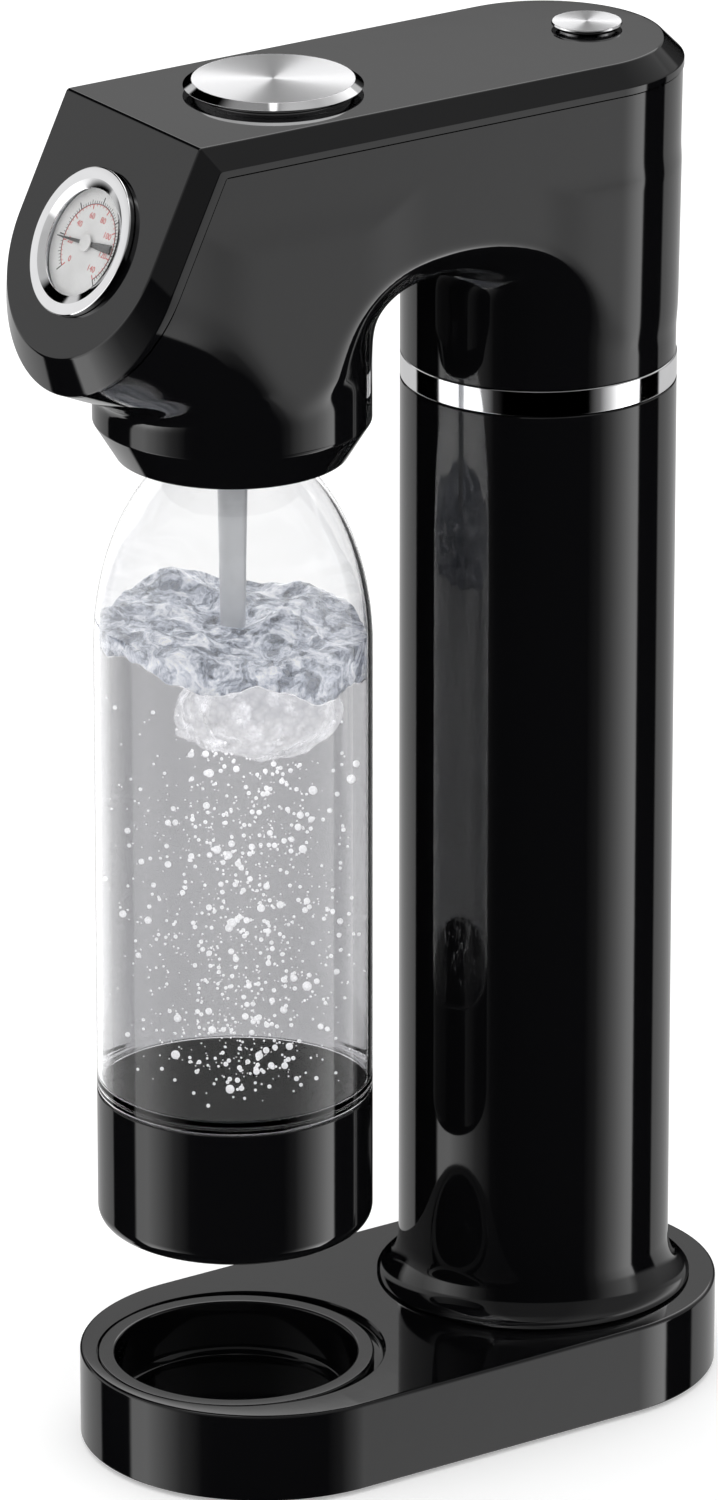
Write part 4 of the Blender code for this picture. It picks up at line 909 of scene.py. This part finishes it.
def bubbles(name, places, radii, finish):
    """Many small spheres in one mesh: one sphere's grid, sized and moved for each bubble."""
    points, faces, uv = ball()
    count = len(places)
    all_points = (points[None] * radii[:, None, None] + places[:, None]).reshape(-1, 3)
    all_faces = (faces[None] + len(points) * np.arange(count)[:, None, None]).reshape(-1, 4)
    piece = solid(name, [(all_points, all_faces, np.tile(uv, (count, 1)))], finish, sharp=180, weld=1e-8)
    return fit(piece, "bottle", None)


def bubble_places():
    """Seeded bubble centres: a plume widening down from the nozzle, strays, and some under the surface."""
    draw = np.random.default_rng(21)
    fall = draw.beta(1.3, 1.25, PLUME_COUNT)
    spread = 0.004 + 0.013 * np.sin(np.pi * np.clip(fall * 0.75 + 0.12, 0, 1))
    x = draw.normal(0, 1, PLUME_COUNT) * spread + 0.0015
    y = draw.normal(0, 1, PLUME_COUNT) * spread + BOTTLE_Y + 0.002
    places = [np.stack([x, y, PLUME_TOP - fall * PLUME_FALL], -1)]
    radii = [draw.gamma(2.2, 0.00017, PLUME_COUNT).clip(0.0002, 0.0014)]
    a = draw.uniform(0, 2 * np.pi, STRAY_COUNT)
    r = WATER_RADIUS * 0.96 * np.sqrt(draw.uniform(0.1, 1, STRAY_COUNT))
    z = draw.uniform(STRAY_LOW, STRAY_HIGH, STRAY_COUNT)
    places.append(np.stack([r * np.cos(a), BOTTLE_Y + r * np.sin(a), z], -1))
    radii.append(draw.gamma(1.8, 0.00026, STRAY_COUNT).clip(0.0002, 0.0019))
    places, radii = np.concatenate(places), np.concatenate(radii)
    reach = np.hypot(places[:, 0], places[:, 1] - BOTTLE_Y)
    kept = reach + radii < WATER_RADIUS - 0.001
    return places[kept], radii[kept]


def froth(finish):
    """White froth round the nozzle's jet: a squat ball swollen and dented by waves."""
    polar, a = np.linspace(np.pi, 0, 80)[:, None], np.linspace(0, 2 * np.pi, 160, endpoint=False)
    x, y, z = np.sin(polar) * np.cos(a), np.sin(polar) * np.sin(a), np.cos(polar) + 0 * a
    swell = 1 + 0.10 * waves(x * 0.03 + z * 0.01, y * 0.03 - z * 0.02, 5, 4, 120.0)
    swell = np.where(np.sin(polar) < 1e-6, 1.0, swell)
    unit = np.stack([x * swell, y * swell, z * swell], -1)
    grid = unit * (FROTH_REACH, FROTH_REACH, FROTH_RISE) + FROTH_CENTRE
    piece = solid("froth", [patch(grid, around=True)], finish, sharp=180)
    return fit(piece, "bottle", None)


NOZZLE_BORE, TIP_BORE = 0.0020, 0.0007
NOZZLE_TAPER = 0.0011                           # how much narrower the tube is at its lower end
NOZZLE_SHOULDER = 0.3215                        # where its taper starts


def nozzle_skins():
    """The tapering tube that dips into the bottle, and the small tip at its end."""
    low, high = corners("nozzle_tube")
    foot, top, wide = low[2], high[2], high[0]
    end = wide - NOZZLE_TAPER
    tube = rounded([
        (NOZZLE_BORE, foot, 0), (end, foot, 0.0003), (wide, NOZZLE_SHOULDER, 0.01), (wide, top, 0.0002),
        (NOZZLE_BORE, top, 0.0002), (NOZZLE_BORE, foot, 0),
    ])
    foot, top = (corner[2] for corner in corners("nozzle_tip"))
    tip = rounded([
        (TIP_BORE, foot, 0), (end - 0.0008, foot, 0.0006), (end - 0.0002, top, 0.0002), (TIP_BORE, top, 0),
        (TIP_BORE, foot, 0),
    ])
    for name, line, node in (("nozzle_skin", tube, "nozzle_tube"), ("nozzle_tip_skin", tip, "nozzle_tip")):
        turned(name, line, BOTTLE_Y, GREY_PLASTIC, "stand", "grey_plastic", node, count=64)


# ---- buttons --------------------------------------------------------------------------------------
def button_skin(name, y, node, neck, rise, bevel):
    """A cap in two pieces: a spun flat top, and the polished bevel, undercut and neck it sits on."""
    low, high = corners(node)
    radius, top, foot = high[0], high[2], low[2]
    edge = radius - bevel
    under = top - rise
    ceiling, hollow = under - 0.0005, neck - 0.0015
    line = rounded([
        (0, ceiling, 0), (hollow, ceiling, 0), (hollow, foot, 0), (neck, foot, 0.0002), (neck, under, 0.0001),
        (radius - 0.0002, under, 0), (radius, under + 0.0002, 0.0001),
        (edge, top, 0.0001), (edge - 0.0001, top - 0.0001, 0), (0, top - 0.0001, 0),
    ])
    turned(name + "_rim", line, y, CHROME, node, "brushed_steel", node, count=256)
    steps = np.linspace(edge - 0.0001, 0, 30)
    under_disc = top - 0.0002
    line = np.stack([np.r_[0, edge - 0.0001, steps], np.r_[under_disc, under_disc, np.full(30, top)]], -1)
    finish = spun_steel(name + "_steel", (0, y, top))
    return turned(name, line, y, finish, node, "brushed_steel", node, count=192)


# ---- gauge ----------------------------------------------------------------------------------------
NEEDLE_REST = math.radians(185.5)


def gauge_turned(name, line, finish, body, slot, *stands_for, count=128, sharp=35.0):
    """A turned piece on the gauge's axis; heights are measured off the sloping face."""
    piece = solid(name, [patch(on_gauge(turn(line, 0, count)), around=True)], finish, sharp)
    return fit(piece, body, slot, *stands_for)


def plate(outline, low, high):
    """A flat outline (anticlockwise) raised between two heights, both its ends drawn in to a centre."""
    centre = outline.mean(0)
    rings = [np.column_stack([np.broadcast_to(centre, outline.shape), np.full(len(outline), low)])]
    rings += [np.column_stack([outline, np.full(len(outline), z)]) for z in (low, high)]
    rings += [np.column_stack([np.broadcast_to(centre, outline.shape), np.full(len(outline), high)])]
    return patch(np.stack(rings), around=True)


def gauge():
    """Bezel, dial with its two scales, lens, needle and hub, all about the gauge's axis."""
    proud, dial_top, window, outer = 0.0021, -0.0014, 0.0166, 0.0230
    bezel = rounded([
        (window, 0.0009, 0), (0.0190, 0.0009, 0), (0.0190, GAP, 0), (outer, GAP, 0.0001),
        (outer, proud, 0.0005), (0.0193, proud, 0.0003), (window, 0.0011, 0.0001), (window, 0.0009, 0),
    ], 6)
    gauge_turned("bezel_skin", bezel, CHROME, "stand", "chrome", "gauge_bezel", count=192)
    gauge_turned("dial_skin", drum(0.0175, dial_top - 0.0008, dial_top), DIAL_PRINT, "stand", "dial_print",
                 "gauge_dial")
    print_low, print_top = dial_top - 0.00005, dial_top + 0.00006

    def tick(angle, start, end, width):
        c, s = math.cos(angle), math.sin(angle)
        corners_flat = np.array([(start, -width), (end, -width), (end, width), (start, width)])
        points, faces, uv = plate(corners_flat @ np.array([(c, s), (-s, c)]), print_low, print_top)
        return on_gauge(points), faces, uv

    first, last = math.radians(228), math.radians(-48)
    black, red = [], []
    ring = 0.0122
    for i in range(61):
        whole, half = i % 10 == 0, i % 5 == 0
        length = 0.0023 if whole else 0.0013 if half else 0.0009
        angle = first + (last - first) * i / 60
        black.append(tick(angle, ring, ring + length, 0.00018 if whole else 0.00008))
    for i in range(36):
        whole = i % 5 == 0
        angle = first + (last - first) * i / 35
        length = 0.0016 if whole else 0.0008
        red.append(tick(angle, ring - length, ring - 0.0001, 0.00016 if whole else 0.00007))
    arcs = np.linspace(first, last, 90)
    for group, radius, half_width in ((black, ring, 0.00007), (red, ring - 0.00018, 0.00007)):
        band = [np.stack([(radius + w) * np.cos(arcs), (radius + w) * np.sin(arcs), np.full(90, z)], -1)
                for w, z in ((-half_width, print_low), (half_width, print_low), (half_width, print_top),
                             (-half_width, print_top), (-half_width, print_low))]
        points, faces, uv = patch(np.stack(band))
        group.append((on_gauge(points), faces, uv))
    fit(solid("scale_black", black, NEEDLE_BLACK, outward=True), "stand", "needle_black")
    fit(solid("scale_red", red, SCALE_RED, outward=True), "stand", "needle_black")
    for i in range(8):
        angle = first + (last - first) * i / 7
        numeral("numeral_%d" % i, str(20 * i), 0.0026, 0.0085, angle, SCALE_RED, print_low, print_top)
    lens_radius = 0.0174
    lens = rounded([
        (0, 0.0002, 0), (lens_radius, 0.0002, 0.0001), (lens_radius, 0.0006, 0.0001), (0, 0.0006, 0),
    ])
    clear = clear_material("lens_clear", 1.2, [(0, 0.99), (1, 0.99)])
    gauge_turned("lens_skin", lens, clear, "stand", "clear_plastic", "gauge_lens")
    needle_low, needle_high = dial_top + 0.0003, dial_top + 0.0007
    side = np.array([
        (0.0148, 0.00015), (0.0035, 0.0006), (0.0, 0.0007),
        (-0.0040, 0.0008), (-0.0050, 0.0010), (-0.0117, 0.0014),
    ])
    outline = np.concatenate([side[:1] * (1, -1), side, side[:0:-1] * (1, -1)])
    c, s = math.cos(NEEDLE_REST), math.sin(NEEDLE_REST)
    points, faces, uv = plate(outline @ np.array([(c, s), (-s, c)]), needle_low, needle_high)
    needle = solid("needle_skin", [(on_gauge(points), faces, uv)], NEEDLE_BLACK, outward=True)
    fit(needle, "gauge_needle", "needle_black", "gauge_needle")
    hub = rounded([(0, needle_high + 0.0002, 0), (0.0026, needle_high + 0.0002, 0.0001),
                   (0.0026, needle_high + 0.0006, 0.0001), (0, needle_high + 0.0006, 0)], 5)
    gauge_turned("hub_skin", hub, DIAL_PRINT, "gauge_needle", "dial_print", "needle_hub", count=64)


def numeral(name, text, size, radius, angle, finish, low, high):
    """A raised number on the dial, upright, centred at a radius and an angle."""
    curve = bpy.data.curves.new(name, "FONT")
    curve.body, curve.size, curve.align_x, curve.align_y = text, size, "CENTER", "CENTER"
    curve.extrude, curve.resolution_u = (high - low) / 2, 3
    made = linked(name, curve)
    graph = bpy.context.evaluated_depsgraph_get()
    mesh = bpy.data.meshes.new_from_object(made.evaluated_get(graph))
    bpy.data.objects.remove(made, do_unlink=True)
    flat = np.zeros(len(mesh.vertices) * 3)
    mesh.vertices.foreach_get("co", flat)
    centre = np.array([radius * math.cos(angle), radius * math.sin(angle), (low + high) / 2])
    mesh.vertices.foreach_set("co", on_gauge(flat.reshape(-1, 3) + centre).ravel())
    mesh.update()
    mesh.materials.clear()
    mesh.materials.append(finish)
    return fit(linked(name, mesh), "stand", "needle_black")


# ---- finishes of the bottle and the water, with painted shade and painted glow ----------------------
def water_with_painted_shade():
    """Still water with painted shade: a dark band painted a little off its middle and a pale rim, standing in
    for light bent and reflected inside the water.
    """
    # painted shade: the dark band at 0.42 and the pale rim stand in for light bent and reflected inside the
    # water
    return clear_material("water_clear", 1.03, [
        (0, (0.44, 0.44, 0.455)), (0.42, (0.34, 0.34, 0.355)),
        (0.62, (0.62, 0.62, 0.63)), (1, (0.86, 0.86, 0.87))])


def splash_with_painted_glow():
    """Churned water: twisted patches of pale blue, slate and white as painted light and shade, wet and part
    see-through, the same patches also glowing as painted light.
    """
    made = Finish("splash_water", Roughness=0.04, IOR=1.33, Emission_Strength=0.36)
    place = made.node("ShaderNodeTexCoord").outputs["Object"]
    warp = made.node("ShaderNodeTexNoise", Vector=place, Scale=70.0, Detail=3.0).outputs[1]
    mixed = made.node("ShaderNodeVectorMath", {"operation": "MULTIPLY_ADD"},
                      _0=warp, _1=(0.03, 0.03, 0.03), _2=place).outputs[0]
    noise = made.node("ShaderNodeTexNoise", Vector=mixed, Scale=150.0, Detail=5.0, Roughness=0.65).outputs[0]
    tone = ramp_of(made.tree, noise, [
        (0.33, (0.03, 0.035, 0.045)), (0.42, (0.15, 0.17, 0.21)), (0.50, (0.46, 0.49, 0.57)),
        (0.57, (0.72, 0.74, 0.80)), (0.68, (0.92, 0.93, 0.95))])
    made.feed("Base Color", tone)
    # painted glow: the splash's own patches are also given off as light, at strength 0.36
    made.feed("Emission Color", tone)
    made.feed("Alpha", remapped(made.tree, noise, 0.3, 0.7, 0.62, 0.95))
    bumped(made, noise, 0.7, 0.003)
    return made.material


def froth_with_painted_glow():
    """Froth: packed white cells with painted shade, each pale in its middle and greyer at its edge, and a
    painted glow; thinner towards the blob's rim.
    """
    made = Finish("froth_white", Roughness=0.25, Emission_Strength=0.75)
    place = made.node("ShaderNodeTexCoord").outputs["Object"]
    cells = made.node("ShaderNodeTexVoronoi", Vector=place, Scale=420.0).outputs[0]
    noise = made.node("ShaderNodeTexNoise", Vector=place, Scale=160.0, Detail=4.0).outputs[0]
    # painted shade: each cell is pale in its middle and greyer towards its edge
    tone = ramp_of(made.tree, cells, [(0, 0.97), (1, (0.72, 0.72, 0.74))])
    made.feed("Base Color", tone)
    # painted glow: the froth's tones are also given off as light, at strength 0.75
    made.feed("Emission Color", tone)
    facing = made.node("ShaderNodeLayerWeight", Blend=0.35).outputs["Facing"]
    rim = remapped(made.tree, facing, 0.25, 0.75, 1.0, 0.15)
    holes = remapped(made.tree, noise, 0.32, 0.50, 0.15, 0.95)
    made.feed("Alpha", worked(made.tree, "MULTIPLY", rim, holes))
    bumped(made, cells, 0.5, 0.0015)
    return made.material


def bubbles_with_painted_glow():
    """Gas bubbles: a painted glow, and a painted highlight rim round a half-clear middle, the rim more solid
    where the bubble is seen edge-on.
    """
    made = Finish("bubble_clear", Roughness=0.05, Emission_Strength=0.8)
    place = made.node("ShaderNodeTexCoord").outputs["Object"]
    noise = made.node("ShaderNodeTexNoise", Vector=place, Scale=300.0).outputs[0]
    tone = ramp_of(made.tree, noise, [(0, (0.85, 0.85, 0.86)), (1, 1.0)])
    made.feed("Base Color", tone)
    # painted glow: the bubbles' pale tones are also given off as light, at strength 0.8
    made.feed("Emission Color", tone)
    # painted highlight: the bubble is more solid, and so brighter, where it is seen edge-on
    facing = made.node("ShaderNodeLayerWeight", Blend=0.5).outputs["Facing"]
    made.feed("Alpha", remapped(made.tree, facing, 0.0, 0.6, 0.6, 1.0))
    return made.material


# ---- studio and camera ------------------------------------------------------------------------------
CAMERA_AZIMUTH = math.radians(55.918)
CAMERA_RISE = math.radians(20.716)
CAMERA_PLACE = (2.69389, -1.82777, 1.44946)


def camera():
    """A long lens that looks down on the machine's front left."""
    back = Vector((math.sin(CAMERA_AZIMUTH) * math.cos(CAMERA_RISE),
                   -math.cos(CAMERA_AZIMUTH) * math.cos(CAMERA_RISE), math.sin(CAMERA_RISE)))
    right = Vector((math.cos(CAMERA_AZIMUTH), math.sin(CAMERA_AZIMUTH), 0))
    up = back.cross(right)
    data = bpy.data.cameras.new("camera")
    data.lens, data.sensor_width, data.sensor_fit = 271.8, 36.0, "AUTO"
    data.clip_start, data.clip_end = 0.1, 50
    made = linked("camera", data)
    made.matrix_world = Matrix.Translation(CAMERA_PLACE) @ Matrix((right, up, back)).transposed().to_4x4()
    bpy.context.scene.camera = made


BRIGHTEST = 3.0                                 # the sky's ramps are shares of this


def studio():
    """Soft boxes as a sky: two tall graded panels beside the viewer, a pale cyclorama behind and above."""
    world = bpy.data.worlds.new("studio")
    bpy.context.scene.world = world
    world.use_nodes = True
    world.cycles.sampling_method = "NONE"
    tree = world.node_tree
    tree.nodes.clear()
    way = wired(tree, "ShaderNodeTexCoord").outputs["Generated"]
    parts = wired(tree, "ShaderNodeSeparateXYZ", Vector=way)
    bearing = worked(tree, "ARCTAN2", parts.outputs[1], parts.outputs[0])
    turned_to = worked(tree, "ADD", bearing, math.pi / 2 - CAMERA_AZIMUTH)
    wrapped = worked(tree, "WRAP", turned_to, math.pi, -math.pi)
    share = remapped(tree, wrapped, -math.pi, math.pi)

    def degrees(*stops):
        return [((angle + 180) / 360, value / BRIGHTEST) for angle, value in stops]

    low = ramp_of(tree, share, degrees(
        (-180, 0.62), (-124, 0.62), (-122, 0.0), (-93, 0.0), (-90, 1.7), (-78, 2.0), (-66, 1.3), (-52, 0.4),
        (-38, 0.02), (-30, 0.0), (42, 0.0), (52, 0.15), (62, 0.7), (72, 1.5), (84, 2.6), (91, 2.9), (93, 0.0),
        (118, 0.0), (121, 0.62), (180, 0.62)))
    band = ramp_of(tree, share, degrees(
        (-180, 0.0), (-132, 0.0), (-124, 0.9), (-100, 0.85), (-90, 1.2), (-78, 1.7), (-66, 1.2), (-52, 0.4),
        (-38, 0.05), (-30, 0.0), (42, 0.0), (52, 0.15), (62, 0.6), (84, 1.5), (93, 0.4), (118, 0.4),
        (150, 0.1), (165, 0.0), (180, 0.0)))
    high = ramp_of(tree, share, degrees(
        (-180, 0.56), (-150, 0.56), (-110, 0.8), (-60, 0.5), (-30, 0.2), (30, 0.2), (60, 0.35), (100, 0.35),
        (150, 0.56), (180, 0.56)))
    middle = ramp_of(tree, share, degrees(
        (-180, 2.2), (-170, 1.8), (-163, 0.0), (-108, 0.0), (-98, 0.5), (-60, 0.5), (-30, 0.2), (30, 0.2),
        (60, 0.36), (100, 0.36), (130, 0.6), (150, 1.6), (165, 2.0), (180, 2.2)))
    overhead = ramp_of(tree, share, degrees(
        (-180, 2.6), (-160, 1.8), (-135, 0.25), (-100, 0.3), (-70, 2.4), (-30, 0.5), (30, 0.3), (75, 0.5),
        (110, 0.6), (135, 0.3), (160, 1.8), (180, 2.6)))
    sky, up = low, parts.outputs[2]
    rows = ((band, -0.24, -0.14), (high, 0.24, 0.30), (middle, 0.40, 0.46), (overhead, 0.80, 0.92))
    for above, start, end in rows:
        rise = remapped(tree, up, start, end, kind="SMOOTHSTEP")
        sky = wired(tree, "ShaderNodeMix", {"data_type": "RGBA"}, Factor=rise, _6=sky, _7=above).outputs[2]
    deep = remapped(tree, up, -0.70, -0.36, 1.7, 1.0, "SMOOTHSTEP")
    floor_dark = remapped(tree, up, -0.73, -0.70, kind="SMOOTHSTEP")
    strength = worked(tree, "MULTIPLY", deep, floor_dark)
    whole = wired(tree, "ShaderNodeVectorMath", {"operation": "SCALE"}, _0=sky, Scale=strength)
    panels = wired(tree, "ShaderNodeBackground", Color=whole.outputs[0], Strength=BRIGHTEST)
    path = wired(tree, "ShaderNodeLightPath").outputs
    reflected = worked(tree, "GREATER_THAN", path["Glossy Depth"], 0.5)
    lit = remapped(tree, reflected, 0, 1, 1.0, 1.9)
    pale = wired(tree, "ShaderNodeBackground", Color=(1, 1, 1, 1), Strength=lit)
    plain = worked(tree, "LESS_THAN", path["Transmission Depth"], 0.5)
    mirrored = worked(tree, "MULTIPLY", reflected, plain)
    mix = wired(tree, "ShaderNodeMixShader", _0=mirrored, _1=pale.outputs[0], _2=panels.outputs[0])
    out = tree.nodes.new("ShaderNodeOutputWorld")
    tree.links.new(mix.outputs[0], out.inputs["Surface"])

    paper = Finish("paper", Roughness=0.9, Emission_Color=(1, 1, 1, 1), Emission_Strength=0.3)
    paper.shader.inputs["Specular IOR Level"].default_value = 0.0
    place = paper.node("ShaderNodeTexCoord").outputs["Object"]
    fibre = paper.node("ShaderNodeTexNoise", Vector=place, Scale=3.0)
    paper.feed("Base Color", ramp_of(paper.tree, fibre.outputs[0], [(0.0, 0.93), (1.0, 0.97)]))
    reach = np.linspace(-6, 6, 3)
    grid = np.stack(np.meshgrid(reach, reach, [0.0], indexing="xy"), -1)[:, :, 0]
    floor = solid("floor", [patch(grid)], paper.material)
    floor.visible_glossy = False
    floor.visible_transmission = False
    bpy.context.scene.view_settings.view_transform = "Standard"


# ---- the whole machine --------------------------------------------------------------------------------
finish_packed_nodes()
head_skin()
shroud_lip()
cover_skin()
column_skin()
chrome_band()
base_skin()
cup_skin()
# painted shade: the bottle's clear plastic is painted a little grey towards its rim, where it is seen edge-on
bottle_skin(clear_material("bottle_clear", 1.38, [(0, 0.99), (1, (0.92, 0.92, 0.93))]))
bottle_cup_skin()
splash(splash_with_painted_glow())
water(water_with_painted_shade())
froth(froth_with_painted_glow())
bubbles("bubbles", *bubble_places(), bubbles_with_painted_glow())
nozzle_skins()
button_skin("carbonate_cap", BUTTON_Y, "carbonate_button", 0.0238, 0.0020, 0.0026)
button_skin("release_cap", RELEASE_Y, "release_button", 0.0090, 0.0009, 0.0002)
gauge()
camera()
studio()
